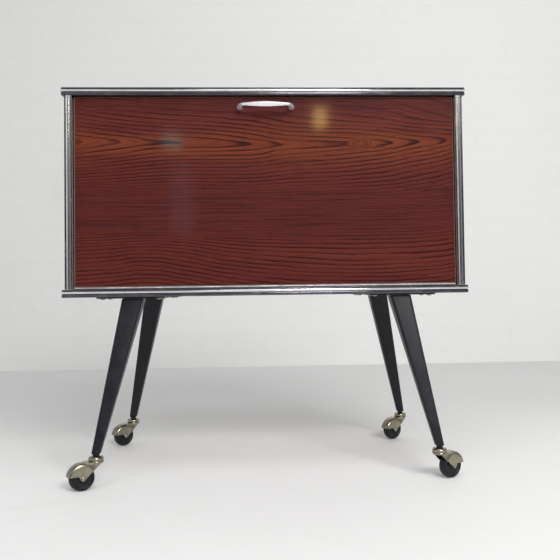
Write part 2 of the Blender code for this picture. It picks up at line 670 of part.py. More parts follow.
def hood(name, parent):
    """Sheet hood: an arch over the wheel with two cheeks to the axle and a round flange at the swivel."""
    disc = bmesh.new()
    add_lathe(disc, rounded_disc(HOOD_R, HOOD_HALF, 0.0045), 32, axle_place())
    shell = finish(name, disc, "antique_brass", parent, smooth=45)

    # Seen from the side: open below the axle's height, and cut off slantwise from the axle to the swivel.
    side = bmesh.new()
    tab = arc((TRAIL, WHEEL_R), 0.0032, 222, 330, 3)
    outline = [(0.0460, 0.0205), (0.0460, 0.0450), (-0.0125, 0.0450)] + tab + [(0.0262, 0.0200)]
    add_prism(side, outline, -0.02, 0.02, along_y)
    boolean(shell, "INTERSECT", name + "_side", side)

    neck = bmesh.new()
    outline = [(-0.0050, 0.0369), (-0.0050, 0.0356), (-0.0031, 0.0340), (0.0070, 0.0238), (0.0157, 0.0292),
               (0.0168, 0.0363), (0.0098, 0.0369)]
    add_prism(neck, outline, -HOOD_HALF + 0.0006, HOOD_HALF - 0.0006, along_y)
    boolean(shell, "UNION", name + "_neck", neck)

    flange = bmesh.new()
    profile = [(0.0, FLANGE_LOW - 0.0004), (FLANGE_R - 0.0020, FLANGE_LOW - 0.0004),
               (FLANGE_R, FLANGE_LOW + 0.0008), (FLANGE_R, FLANGE_TOP - 0.0006),
               (FLANGE_R - 0.0006, FLANGE_TOP), (0.0, FLANGE_TOP)]
    add_lathe(flange, profile, 16)
    boolean(shell, "UNION", name + "_flange", flange)

    inside = HOOD_HALF - HOOD_SHEET
    hollow = bmesh.new()
    add_lathe(hollow, rounded_disc(HOOD_R - HOOD_SHEET, inside, 0.0032), 32, axle_place())
    boolean(shell, "DIFFERENCE", name + "_hollow", hollow)
    room = bmesh.new()
    outline = [(-0.0120, FLANGE_LOW), (-0.0120, 0.0080), (0.0195, 0.0080), (0.0163, 0.0346),
               (0.0060, FLANGE_LOW)]
    add_prism(room, outline, -inside + 0.0003, inside - 0.0003, along_y)
    boolean(shell, "DIFFERENCE", name + "_room", room)
    holes = bmesh.new()
    add_lathe(holes, hole_profile(KINGPIN_R + 0.0005, FLANGE_LOW - 0.004, FLANGE_TOP + 0.004), 8)
    add_lathe(holes, hole_profile(AXLE_HOLE_R, -0.012, 0.012), 8, axle_place())
    boolean(shell, "DIFFERENCE", name + "_holes", holes)


def axle_place():
    """A lathe's axis along Y through the wheel's centre, in the caster's own space."""
    return Matrix.Translation((TRAIL, 0.0, WHEEL_R)) @ Matrix.Rotation(-math.pi / 2, 4, "X")


def axle(name, parent):
    out = HOOD_HALF + GAP
    profile = [(0.0, -out - 0.0010), (0.0019, -out - 0.0009), (0.0027, -out), (AXLE_R, -out),
               (AXLE_R, out), (0.0027, out), (0.0019, out + 0.0009), (0.0, out + 0.0010)]
    bm = bmesh.new()
    add_lathe(bm, profile, 10, axle_place())
    finish(name, bm, "antique_brass", parent, smooth=40)


def wheel(name, parent):
    """Rubber wheel with a crowned tread, a dished side and a hub; its own space has the axle at zero."""
    half = [(0.0019, 0.0065), (0.0050, 0.0065), (0.0062, 0.0050), (0.0120, 0.0050), (0.0134, 0.0062),
            (0.0158, 0.0052), (WHEEL_R, 0.0020)]
    profile = half + [(radius, -level) for radius, level in half[::-1]]
    bm = bmesh.new()
    add_lathe(bm, profile, 24, Matrix.Rotation(math.pi / 2, 4, "X"), turn=math.pi / 2)
    finish(name, bm, "black_rubber", parent, smooth=40)


def casters(parent):
    for place, (side, end, trail) in CASTERS.items():
        caster_socket(f"caster_socket_{place}", side, end, parent)
        swivel = empty(f"swivel_{place}", (side * FOOT[0], end * FOOT[1], 0.0), parent)
        swivel.rotation_euler.z = math.radians(trail)
        hood(f"caster_hood_{place}", swivel)
        axle(f"caster_axle_{place}", swivel)
        spin = empty(f"spin_{place}", (TRAIL, 0.0, WHEEL_R), swivel)
        wheel(f"caster_wheel_{place}", spin)


# ---------------------------------------------------------------- the whole box
def pivot(name, point, parent):
    """Empty on a joint line, with a child frame that cancels its place, so shapes keep the case's space."""
    joint = empty(name, point, parent)
    return empty(name + "_space", [-c for c in point], joint)


def build():
    for old in list(bpy.data.objects):
        bpy.data.objects.remove(old, do_unlink=True)
    frame = empty("frame", (0.0, SHIFT_Y, 0.0))

    case_boards(frame)
    magnet_catch(frame)
    hinge_leaf("hinge_lower_leaf", -1, 0, frame)
    hinge_pin(frame)
    for place, (side, end, _) in CASTERS.items():
        leg_plate(f"leg_plate_{place}", side, end, frame)
        leg(f"leg_{place}", side, end, frame)

    flap = pivot("flap_joint", (0.0, HINGE_Y, HINGE_Z), frame)
    flap_board(flap)
    hinge_leaf("hinge_upper_leaf", 1, 1, flap)
    handle(flap)
    rear_y, rear_z = from_hinge(*REAR_SHIFT)
    rear = pivot("rear_arm_joint", (0.0, rear_y, rear_z), frame)
    for name, side in (("left", -1), ("right", 1)):
        handle_screw(f"{name}_handle_screw", side, flap)
        flap_arm(f"{name}_flap_arm", side, flap)
        pivot_bracket(f"{name}_pivot_bracket", side, frame)
        rear_arm(f"{name}_rear_arm", side, rear)
    for index, name in enumerate(TRAY_NAMES):
        pin_y, pin_z = from_hinge(*front_pins()[index])
        carried = pivot(f"{name}_tray_joint", (0.0, pin_y, pin_z), frame)
        tray(index, carried)
        dividers(index, carried)
    casters(frame)


build()
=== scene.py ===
"""Looks for a drop-front sewing box on splayed legs.

Materials, detailed pieces, stage, light and camera. Units are metres in the CAD model's frame:
+Z up, -Y the front, +X the viewer's right.
"""

import json
import math

import bmesh
import bpy
from mathutils import Matrix, Vector


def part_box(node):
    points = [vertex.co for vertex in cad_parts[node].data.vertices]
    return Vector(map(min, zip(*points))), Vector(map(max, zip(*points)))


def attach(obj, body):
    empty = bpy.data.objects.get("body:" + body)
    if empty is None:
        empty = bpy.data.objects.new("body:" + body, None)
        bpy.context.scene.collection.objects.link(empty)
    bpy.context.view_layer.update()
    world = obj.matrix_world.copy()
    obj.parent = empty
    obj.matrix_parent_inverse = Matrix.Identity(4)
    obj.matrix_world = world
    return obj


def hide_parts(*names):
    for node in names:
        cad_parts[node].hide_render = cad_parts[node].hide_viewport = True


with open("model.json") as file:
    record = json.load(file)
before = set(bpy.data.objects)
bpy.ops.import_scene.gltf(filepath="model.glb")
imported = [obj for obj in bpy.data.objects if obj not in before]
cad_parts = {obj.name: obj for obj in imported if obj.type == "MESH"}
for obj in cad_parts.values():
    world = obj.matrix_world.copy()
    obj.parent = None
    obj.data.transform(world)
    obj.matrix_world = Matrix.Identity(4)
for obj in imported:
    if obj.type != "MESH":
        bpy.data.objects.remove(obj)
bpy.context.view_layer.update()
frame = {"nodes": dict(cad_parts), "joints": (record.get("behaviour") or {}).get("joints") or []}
NODES = frame["nodes"]
JOINTS = {joint["name"]: joint for joint in frame["joints"]}

MM = 0.001
FLAP_LOW, FLAP_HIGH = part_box("flap_panel")
BOARD_LOW, BOARD_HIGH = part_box("top_panel")
MIDDLE_Y = (BOARD_LOW.y + BOARD_HIGH.y) / 2         # the case's middle, front to back
HINGE_Y, HINGE_Z = JOINTS["flap_hinge"]["pos_m"][1:]

# ---- camera ----
CAMERA_PLACE = (-0.0094, -1.1480, 0.2636)
CAMERA_YAW = 0.0510
CAMERA_PITCH = 0.0299
CAMERA_ROLL = -0.0134
CAMERA_SHIFT = (-0.0329, -0.0228)   # the picture isn't centred on the lens's axis
SENSOR = 36.0
FOCAL_SHARE = 1.3167                # focal length as a share of the picture's width


def make_camera():
    """Camera low in front of the box, turned and tilted by the three angles."""
    ahead = Vector((math.sin(CAMERA_YAW) * math.cos(CAMERA_PITCH),
                    math.cos(CAMERA_YAW) * math.cos(CAMERA_PITCH), math.sin(CAMERA_PITCH)))
    level = Vector((math.cos(CAMERA_YAW), -math.sin(CAMERA_YAW), 0.0))
    up = level.cross(ahead)
    right = level * math.cos(CAMERA_ROLL) + up * math.sin(CAMERA_ROLL)
    top = up * math.cos(CAMERA_ROLL) - level * math.sin(CAMERA_ROLL)
    data = bpy.data.cameras.new("camera")
    data.sensor_width = SENSOR
    data.lens = SENSOR * FOCAL_SHARE
    data.shift_x, data.shift_y = CAMERA_SHIFT
    data.clip_start = 0.01
    data.clip_end = 50.0
    camera = bpy.data.objects.new("camera", data)
    bpy.context.collection.objects.link(camera)
    turn = Matrix((right, top, -ahead)).transposed()
    camera.matrix_world = Matrix.Translation(CAMERA_PLACE) @ turn.to_4x4()
    bpy.context.scene.camera = camera


# ---- shader tools ----
class Tree:
    """Short names for building a node tree."""

    def __init__(self, tree):
        self.tree = tree

    def node(self, kind, **values):
        made = self.tree.nodes.new("ShaderNode" + kind)
        for key, value in values.items():
            setattr(made, key, value)
        return made

    def put(self, socket, value):
        if isinstance(value, bpy.types.NodeSocket):
            self.tree.links.new(value, socket)
        else:
            socket.default_value = value

    def math(self, operation, *inputs):
        made = self.node("Math", operation=operation)
        for socket, value in zip(made.inputs, inputs):
            self.put(socket, value)
        return made.outputs[0]

    def add(self, a, b):
        return self.math("ADD", a, b)

    def take(self, a, b):
        return self.math("SUBTRACT", a, b)

    def times(self, a, b):
        return self.math("MULTIPLY", a, b)

    def larger(self, a, b):
        return self.math("MAXIMUM", a, b)

    def split(self, vector):
        made = self.node("SeparateXYZ")
        self.put(made.inputs[0], vector)
        return list(made.outputs)

    def join(self, x, y, z):
        made = self.node("CombineXYZ")
        for socket, value in zip(made.inputs, (x, y, z)):
            self.put(socket, value)
        return made.outputs[0]

    def stretched(self, parts, factors):
        return self.join(*[self.times(part, factor) for part, factor in zip(parts, factors)])

    def noise(self, vector, scale=1.0, detail=2.0, roughness=0.5, distortion=0.0):
        made = self.node("TexNoise")
        for key, value in (("Vector", vector), ("Scale", scale), ("Detail", detail),
                           ("Roughness", roughness), ("Distortion", distortion)):
            self.put(made.inputs[key], value)
        return made.outputs[0]

    def span(self, value, low, high, to_low=0.0, to_high=1.0, smooth=True):
        """The value's way from low to high, as a number from to_low to to_high."""
        made = self.node("MapRange", interpolation_type="SMOOTHSTEP" if smooth else "LINEAR")
        for socket, item in zip(made.inputs, (value, low, high, to_low, to_high)):
            self.put(socket, item)
        return made.outputs[0]

    def hump(self, value, rise, fall):
        """0 to 1 over the rise and back to 0 over the fall; both are (start, end)."""
        return self.times(self.span(value, *rise), self.span(value, *fall, 1.0, 0.0))

    def curve(self, value, points):
        """A smooth curve through (place, level) points; levels may be any numbers."""
        low, high = points[0][0], points[-1][0]
        levels = [level for _, level in points]
        base, top = min(levels), max(levels)
        made = self.node("FloatCurve")
        line = made.mapping.curves[0]
        for index, (place, level) in enumerate(points):
            at = ((place - low) / (high - low), (level - base) / (top - base))
            if index in (0, len(points) - 1):
                line.points[0 if index == 0 else -1].location = at
            else:
                line.points.new(*at)
        made.mapping.update()
        self.put(made.inputs["Value"], self.span(value, low, high, smooth=False))
        return self.add(self.times(made.outputs[0], top - base), base)

    def ramp(self, value, stops, blue=1.0):
        """A grey for each value, from (place, level) stops; blue tints it."""
        made = self.node("ValToRGB")
        self.put(made.inputs[0], value)
        line = made.color_ramp
        line.elements[0].position, line.elements[1].position = stops[0][0], stops[-1][0]
        for place, _ in stops[1:-1]:
            line.elements.new(place)
        for element, (_, level) in zip(line.elements, stops):
            element.color = (level, level, level * blue, 1.0)
        return made.outputs[0]

    def mix(self, share, a, b, blend="MIX"):
        made = self.node("Mix", data_type="RGBA", blend_type=blend)
        self.put(made.inputs[0], share)
        for socket, value in ((made.inputs[6], a), (made.inputs[7], b)):
            self.put(socket, value if isinstance(value, bpy.types.NodeSocket) else (*value, 1.0))
        return made.outputs[2]


class Shader(Tree):
    """A material, and short names for its own inputs."""

    def __init__(self, name):
        self.material = bpy.data.materials.new(name)
        self.material.use_nodes = True
        super().__init__(self.material.node_tree)
        self.shader = self.tree.nodes["Principled BSDF"]
        self.place = self.node("TexCoord").outputs["Object"]    # in the model's frame, at rest
        self.xyz = self.split(self.place)

    def finish(self, color, relief, **values):
        """Set the shader's inputs; relief is (height, distance, strength). Gives the material."""
        made = self.node("Bump")
        for key, value in zip(("Height", "Distance", "Strength"), relief):
            self.put(made.inputs[key], value)
        for key, value in {"Base_Color": color, "Normal": made.outputs[0], **values}.items():
            self.put(self.shader.inputs[key.replace("_", " ")], value)
        return self.material


# ---- rosewood laminate ----
LIGHT_WOOD = (0.182, 0.043, 0.018)
RED_WOOD = (0.113, 0.0225, 0.0170)
MID_WOOD = (0.078, 0.0170, 0.0165)
DARK_WOOD = (0.0175, 0.0058, 0.0072)
# pale edge banding, made lighter as a painted highlight of the flap's edges catching light
EDGE_PAINTED_HIGHLIGHT = (0.33, 0.26, 0.19)
EDGE_WIDTH = 0.0009
EDGE_FADE = 0.0003

# The figure as curves of (place, level). u runs along the grain, v across it.
FIGURE_END = 0.2685
HEART_LINE = (                      # v of the line through the arches' points, over u
    (-FIGURE_END, 0.4735), (-0.165, 0.4735), (-0.02, 0.4695), (0.05, 0.4695), (0.134, 0.4700),
    (0.20, 0.4715), (FIGURE_END, 0.4765))
RINGS_ACROSS = (                    # growth rings counted from the heart line, over the depth below
    (-0.070, 11.0), (-0.034, 5.2), (-0.010, 1.1), (0.0, 0.0), (0.010, 1.2), (0.034, 5.6),
    (0.060, 11.5), (0.110, 27.0), (0.145, 36.5), (0.170, 41.0), (0.205, 47.0))
RINGS_ALONG = (                     # rings crossed along the heart line, over u: one arch each
    (-FIGURE_END, -0.3), (-0.206, 0.95), (-0.154, 1.95), (-0.060, 2.6), (-0.022, 3.0), (0.024, 4.0),
    (0.085, 4.7), (0.134, 5.3), (0.174, 6.0), (0.206, 7.0), (0.251, 8.0), (FIGURE_END, 8.5))
LOW_ARCHES = (                      # rings that bend the lower figure, over u
    (-FIGURE_END, 0.0), (-0.215, 0.6), (-0.168, 1.25), (-0.125, 0.5), (-0.05, -1.4), (0.05, -3.0),
    (0.15, -3.6), (FIGURE_END, -3.4))
ARCH_TIP = 0.005                    # roundness of the arches' points
TIP_RINGS = 105.0                   # rings to a metre at the points
KNOT_PLACE = (0.1345, 0.0002)       # along u, and below the heart line
KNOT_SIZE = (0.0205, 0.0092)
KNOT_RINGS = 3.0
FIRST_RING = 0.92


def grain(s, u, v, along, across, pattern, **settings):
    """Noise drawn out along the grain; each pattern number gives another noise."""
    return s.noise(s.join(s.times(u, along), s.times(v, across), pattern), **settings)


def growth_rings(s, u, v):
    """Number of rings at a point, depth below the heart line, share of the knot, and fine waver."""
    sway = s.add(grain(s, u, v, 7.0, 16.0, 0.0, detail=1.0), -0.5)
    flutter = s.add(grain(s, u, v, 13.0, 120.0, 3.0, detail=3.0, roughness=0.55), -0.5)
    below = s.take(s.curve(u, HEART_LINE), v)
    near = s.take(s.math("SQRT", s.add(s.times(below, below), ARCH_TIP ** 2)), ARCH_TIP)
    rings = s.larger(s.curve(below, RINGS_ACROSS), s.times(near, TIP_RINGS))
    fade = s.times(s.span(below, 0.012, 0.125, 1.0, 0.0), s.span(below, -0.075, -0.025, 0.45, 1.0))
    # the knot lifts a few closed rings out of the figure
    out_along = s.times(s.take(u, KNOT_PLACE[0]), 1 / KNOT_SIZE[0])
    out_across = s.times(s.take(below, KNOT_PLACE[1]), 1 / KNOT_SIZE[1])
    apart = s.add(s.times(out_along, out_along), s.times(out_across, out_across))
    knot = s.span(s.math("SQRT", apart), 0.0, 1.0, 1.0, 0.0)
    for part, share in ((s.curve(u, RINGS_ALONG), fade),
                        (s.curve(u, LOW_ARCHES), s.span(below, 0.095, 0.180)),
                        (knot, -KNOT_RINGS), (sway, 1.1), (flutter, 0.42)):
        rings = s.add(rings, s.times(part, share))
    return s.add(rings, FIRST_RING), below, knot, flutter


def laminate(name, along, across, shift=(0.0, 0.0), edged=False):
    """Rosewood figure: flat-sawn arches with a knot, straight grain, and a lower arched band.

    along and across are 0, 1 or 2 for x, y or z; shift moves the figure onto the board.
    """
    s = Shader(name)
    u = s.add(s.xyz[along], shift[0])
    v = s.add(s.xyz[across], shift[1])
    rings, below, knot, flutter = growth_rings(s, u, v)
    line = s.hump(s.math("FRACT", rings), (0.50, 0.90), (0.95, 1.0))
    fine = s.math("FRACT", s.add(s.times(rings, 2.0), s.times(flutter, 1.5)))
    thread = s.hump(fine, (0.45, 0.90), (0.92, 1.0))
    figured = s.larger(s.hump(below, (-0.052, -0.030), (0.046, 0.078)), s.span(below, 0.112, 0.150))
    patchy = grain(s, u, v, 9.0, 75.0, 8.0, detail=2.0)
    weight = s.times(s.span(figured, 0.0, 1.0, 0.34, 0.95), s.span(patchy, 0.34, 0.60, 0.45, 1.0))
    weight = s.larger(weight, s.span(knot, 0.0, 0.4, 0.0, 0.9))
    fibre = grain(s, u, v, 9.0, 520.0, 1.0, detail=3.0, roughness=0.7)
    fleck = grain(s, u, v, 52.0, 1500.0, 5.0, detail=1.0)
    cloud = grain(s, u, v, 3.0, 30.0, 2.0, detail=3.0)
    streak = grain(s, u, v, 6.0, 300.0, 6.0, detail=3.0, roughness=0.65)
    # the wood between the rings: redder where it is figured, lightest along the heart line
    glow = s.times(s.span(s.math("ABSOLUTE", below), 0.004, 0.050, 1.0, 0.0),
                   s.span(cloud, 0.28, 0.60))
    low_glow = s.times(s.span(below, 0.120, 0.190), s.times(s.span(cloud, 0.40, 0.70), 0.30))
    color = s.mix(s.span(fibre, 0.38, 0.62), MID_WOOD, RED_WOOD)
    color = s.mix(s.span(figured, 0.0, 1.0, 0.0, 0.75), color, RED_WOOD)
    color = s.mix(s.times(s.larger(glow, low_glow), 0.85), color, LIGHT_WOOD)
    # dark streaks, fibres, pores, and the fine and the strong ring lines
    for mark, share in ((s.span(streak, 0.46, 0.66), s.span(figured, 0.0, 1.0, 0.50, 0.16)),
                        (s.span(fibre, 0.54, 0.72), 0.42), (s.span(fleck, 0.50, 0.72), 0.40),
                        (thread, 0.22), (line, weight)):
        color = s.mix(s.times(mark, share), color, DARK_WOOD)
    if edged:
        # pale edge banding with a painted highlight along the flap's edges
        color = s.mix(edge_highlight_share(s), color, EDGE_PAINTED_HIGHLIGHT)
    return s.finish(color, (s.add(s.times(fleck, 0.6), s.times(line, -0.5)), 0.00002, 0.35),
                    IOR=1.48, Roughness=s.span(cloud, 0.2, 0.8, 0.34, 0.42),
                    Specular_IOR_Level=0.03, Coat_Weight=0.36, Coat_Roughness=0.075)


def edge_highlight_share(s):
    """1 on the flap's narrow edges and their rounded corners, where the pale edge banding is
    lightened by a painted highlight of the edges catching light.
    """
    middle = (FLAP_LOW + FLAP_HIGH) / 2
    half = (FLAP_HIGH - FLAP_LOW) / 2
    reach = [s.take(s.math("ABSOLUTE", s.take(s.xyz[axis], middle[axis])), half[axis])
             for axis in (0, 2)]
    return s.span(s.larger(*reach), -EDGE_WIDTH, -EDGE_WIDTH + EDGE_FADE)


# ---- other materials ----
# painted dark reflection on the trims' metal flats, with lighter patches at random
SLATE = (0.085, 0.080, 0.100)
SLATE_LIGHT_PATCH = (0.135, 0.128, 0.140)
BARE_METAL = (0.45, 0.44, 0.42)
BRIGHT_METAL = (0.82, 0.815, 0.81)
IVORY, IVORY_SHADE = (0.80, 0.72, 0.54), (0.74, 0.65, 0.47)
BROWN, BROWN_SHADE = (0.095, 0.040, 0.024), (0.075, 0.032, 0.020)
UPRIGHT_STREAK = (1500.0, 1500.0, 12.0)


def trim_dark_reflection(name, streak=(50.0, 50.0, 1800.0)):
    """Painted dark reflection: dark slate colour on the trim's metal flats where they show a dark
    room, with lighter and bare-metal patches at random.
    """
    s = Shader(name)
    draw = s.noise(s.stretched(s.xyz, streak), detail=2.0)
    slate_patches = s.noise(s.place, scale=55.0, detail=5.0, roughness=0.65)
    # the slate is a painted dark reflection on the metal; its lighter patches are random
    tone = s.mix(s.span(slate_patches, 0.40, 0.72), SLATE, SLATE_LIGHT_PATCH)
    tone = s.mix(s.times(s.span(slate_patches, 0.68, 0.78), 0.3), tone, BARE_METAL)
    return s.finish(tone, (draw, 0.00001, 0.4),
                    Metallic=0.85, Roughness=s.span(slate_patches, 0.3, 0.7, 0.18, 0.28))


def polished(name, streak=(60.0, 60.0, 2500.0), rough=(0.09, 0.20), grooved=0.16):
    """Bright metal with fine lengthwise draw lines, dull patches and small pits."""
    s = Shader(name)
    draw = s.noise(s.stretched(s.xyz, streak), detail=2.0)
    dull = s.noise(s.place, scale=38.0, detail=4.0, roughness=0.6)
    pits = s.noise(s.place, scale=900.0, detail=2.0)
    dulled, pitted = (tuple(share * c for c in BRIGHT_METAL) for share in (0.80, 0.35))
    tone = s.mix(s.span(dull, 0.40, 0.75), BRIGHT_METAL, dulled)
    tone = s.mix(s.times(s.span(pits, 0.66, 0.76), 0.4), tone, pitted)
    return s.finish(tone, (s.add(draw, s.times(pits, 0.1)), 0.00001, grooved),
                    Metallic=1.0, Roughness=s.span(dull, 0.30, 0.75, *rough))


def satin(name):
    """Die-cast handle metal: pale, softly shining, with worn edges and a few dull spots."""
    s = Shader(name)
    worn = s.noise(s.stretched(s.xyz, (120.0, 300.0, 300.0)), detail=4.0, roughness=0.6)
    spots = s.noise(s.place, scale=650.0, detail=2.0)
    tone = s.mix(s.span(worn, 0.35, 0.70), (0.80, 0.79, 0.84), (0.73, 0.72, 0.76))
    tone = s.mix(s.times(s.span(spots, 0.64, 0.74), 0.4), tone, (0.28, 0.26, 0.24))
    return s.finish(tone, (s.add(worn, spots), 0.00001, 0.12),
                    Metallic=0.55, Roughness=s.span(worn, 0.3, 0.7, 0.20, 0.32))


def enamel(name):
    """Black enamel with a slight orange peel and a thin film of dust."""
    s = Shader(name)
    peel = s.noise(s.place, scale=420.0, detail=2.0)
    dust = s.noise(s.place, scale=60.0, detail=5.0, roughness=0.65)
    tone = s.mix(s.span(dust, 0.45, 0.80), (0.0068, 0.0066, 0.0115), (0.0140, 0.0140, 0.0200))
    return s.finish(tone, (peel, 0.00005, 0.35),
                    Roughness=s.span(dust, 0.3, 0.8, 0.34, 0.50), IOR=1.5, Specular_IOR_Level=0.30)


def brass(name):
    """Antique brass plate: olive gold with greyer patches and dark specks."""
    s = Shader(name)
    patch = s.noise(s.place, scale=110.0, detail=4.0, roughness=0.6)
    fine = s.noise(s.place, scale=700.0, detail=3.0)
    tone = s.mix(s.span(patch, 0.35, 0.65), (0.34, 0.318, 0.232), (0.265, 0.250, 0.186))
    tone = s.mix(s.times(s.span(fine, 0.58, 0.78), 0.30), tone, (0.12, 0.105, 0.072))
    return s.finish(tone, (fine, 0.00003, 0.3),
                    Metallic=1.0, Roughness=s.span(patch, 0.3, 0.7, 0.20, 0.30))


def rubber(name):
    """Black tyre, greyed by scuffs."""
    s = Shader(name)
    skin_grain = s.noise(s.place, scale=1500.0, detail=2.0)
    scuff = s.noise(s.place, scale=150.0, detail=5.0, roughness=0.7)
    tone = s.mix(s.span(scuff, 0.50, 0.78), (0.0072, 0.0072, 0.0115), (0.024, 0.024, 0.029))
    return s.finish(tone, (skin_grain, 0.00004, 0.4),
                    Roughness=s.span(scuff, 0.3, 0.8, 0.42, 0.66), Specular_IOR_Level=0.30)


def zinc(name):
    """Zinc-plated steel with rolling lines and cloudy bloom."""
    s = Shader(name)
    rolled = s.noise(s.stretched(s.xyz, (40.0, 40.0, 900.0)), detail=2.0)
    bloom = s.noise(s.place, scale=90.0, detail=4.0, roughness=0.6)
    tone = s.mix(s.span(bloom, 0.38, 0.70), (0.60, 0.61, 0.62), (0.40, 0.405, 0.41))
    return s.finish(tone, (rolled, 0.00002, 0.4),
                    Metallic=1.0, Roughness=s.span(bloom, 0.3, 0.7, 0.28, 0.44))


def plastic(name, color, shade):
    """Moulded plastic with a fine spark-eroded grain and slight marbling."""
    s = Shader(name)
    flow = s.noise(s.place, scale=9.0, detail=3.0)
    eroded = s.noise(s.place, scale=1100.0, detail=2.0)
    rubbed = s.noise(s.place, scale=60.0, detail=5.0, roughness=0.65)
    return s.finish(s.mix(s.span(flow, 0.30, 0.72), color, shade), (eroded, 0.00005, 0.35),
                    Roughness=s.span(rubbed, 0.3, 0.75, 0.34, 0.50))


def pressed_board(name):
    """Hardboard: pressed brown chips under finer fibres."""
    s = Shader(name)
    chips = s.noise(s.place, scale=260.0, detail=5.0, roughness=0.7, distortion=1.2)
    cloud = s.noise(s.place, scale=14.0, detail=3.0)
    fibres = s.noise(s.place, scale=900.0, detail=2.0, distortion=3.0)
    tone = s.mix(s.span(chips, 0.36, 0.66), (0.155, 0.078, 0.040), (0.275, 0.155, 0.085))
    tone = s.mix(s.span(cloud, 0.35, 0.70, 0.0, 0.35), tone, (0.120, 0.062, 0.036))
    return s.finish(tone, (s.add(chips, fibres), 0.00008, 0.5),
                    Roughness=s.span(chips, 0.3, 0.7, 0.62, 0.80))


# ---- stage materials ----
WALL_Y = 1.40
WALL_HEIGHT = 5.0
STAGE_SIZE = 9.0
# painted shade: a grey mixed into the floor and wall colours where they should look less lit
STAGE_PAINTED_SHADE = (0.10, 0.10, 0.10)      # mixed in where the stage gets less light
BRICK = (("Scale", 1.0), ("Mortar Size", 0.0045), ("Mortar Smooth", 1.0), ("Brick Width", 0.215),
         ("Row Height", 0.0640))
BRICK_RAISE = 0.02                  # the brick rows start this far under the floor


def whitewash(s, color, shade):
    """Uneven white paint: broad clouds with smaller stains."""
    cloud = s.noise(s.place, scale=1.6, detail=6.0, roughness=0.62)
    stain = s.noise(s.place, scale=11.2, detail=7.0, roughness=0.7, distortion=0.8)
    tone = s.mix(s.span(cloud, 0.30, 0.72), color, shade)
    return s.mix(s.span(stain, 0.55, 0.74, 0.0, 0.10), tone, (0.55, 0.56, 0.54)), cloud


def floor_material(name):
    """Worn pale floor, with painted shade that makes it a little dimmer towards the wall."""
    s = Shader(name)
    tone, cloud = whitewash(s, (0.94, 0.94, 0.935), (0.91, 0.91, 0.905))
    speck = s.noise(s.place, scale=140.0, detail=3.0)
    # painted shade, darker towards the wall
    tone = s.mix(s.span(s.xyz[1], -0.15, 0.75, 0.0, 0.20), tone, STAGE_PAINTED_SHADE)
    return s.finish(tone, (s.add(cloud, s.times(speck, 0.2)), 0.0006, 0.5), Roughness=0.72)


def wall_material(name):
    """Whitewashed brickwork, with painted shade that makes it a little dimmer on the left."""
    s = Shader(name)
    tone, cloud = whitewash(s, (0.89, 0.89, 0.88), (0.86, 0.86, 0.85))
    x, _, z = s.xyz
    bricks = s.node("TexBrick")
    s.put(bricks.inputs["Vector"], s.join(x, s.add(z, BRICK_RAISE), 0.0))
    for key, value in BRICK:
        s.put(bricks.inputs[key], value)
    joint = bricks.outputs["Fac"]
    tone = s.mix(s.times(joint, 0.05), tone, (0.50, 0.50, 0.49))
    # painted shade, darker towards the left
    tone = s.mix(s.span(x, 0.5, -0.7, 0.0, 0.08), tone, STAGE_PAINTED_SHADE)
    return s.finish(tone, (s.add(cloud, s.times(joint, -0.25)), 0.0010, 0.5), Roughness=0.72)


# ---- mesh tools ----
def put_mesh(name, bm, smooth=None):
    """Make an object of a bmesh; smooth is the angle under which edges are shaded round."""
    bmesh.ops.recalc_face_normals(bm, faces=bm.faces)
    mesh = bpy.data.meshes.new(name)
    bm.to_mesh(mesh)
    bm.free()
    made = bpy.data.objects.new(name, mesh)
    bpy.context.collection.objects.link(made)
    if smooth:
        mesh.shade_smooth()
        mesh.set_sharp_from_angle(angle=math.radians(smooth))
    return made


def piece(name, bm, mats, body, stands_for=(), smooth=35, place=None):
    """A visible piece that rides on a body; mats is a list of materials."""
    made = put_mesh(name, bm, smooth)
    for mat in mats:
        made.data.materials.append(mat)
    if place is not None:
        made.matrix_world = place
    settle_on(made, body, stands_for)


def settle_on(made, body, stands_for):
    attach(made, body)
    if stands_for:
        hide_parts(*stands_for)


def spread(low, high, count):
    return [low + (high - low) * i / (count - 1) for i in range(count)]


def arc(centre, radius, start, end, steps):
    """Points along a circle, between two angles in degrees."""
    angles = [math.radians(angle) for angle in spread(start, end, steps + 1)]
    return [(centre[0] + radius * math.cos(t), centre[1] + radius * math.sin(t)) for t in angles]


def box_corners(low, high):
    """A box's upright edges as (x, y, side in x, side in y), anticlockwise seen from above."""
    return [(high.x, high.y, 1, 1), (low.x, high.y, -1, 1),
            (low.x, low.y, -1, -1), (high.x, low.y, 1, -1)]


def rounded_ring(low, high, inset, corner, z, steps):
    """Level outline of a box with rounded corners; the inset is its distance from the sides."""
    points = []
    for index, (x, y, sx, sy) in enumerate(box_corners(low, high)):
        middle = (x - sx * (inset + corner), y - sy * (inset + corner))
        points += arc(middle, corner, 90 * index, 90 * index + 90, steps)
    return [(a, b, z) for a, b in points]


def skin(bm, loops, closed=False, slots=None):
    """Faces between loops of equally many points, closed into a ring or capped at both ends.

    slots gives the material of each lengthwise row of faces; the caps take the highest.
    """
    rows = [[bm.verts.new(point) for point in loop] for loop in loops]
    slots = slots or [0] * len(rows[0])
    for near, far in zip(rows, rows[1:] + (rows[:1] if closed else [])):
        for i, slot in enumerate(slots):
            j = (i + 1) % len(slots)
            bm.faces.new((near[i], near[j], far[j], far[i])).material_index = slot
    if not closed:
        for row in (rows[0][::-1], rows[-1]):
            bm.faces.new(row).material_index = max(slots)


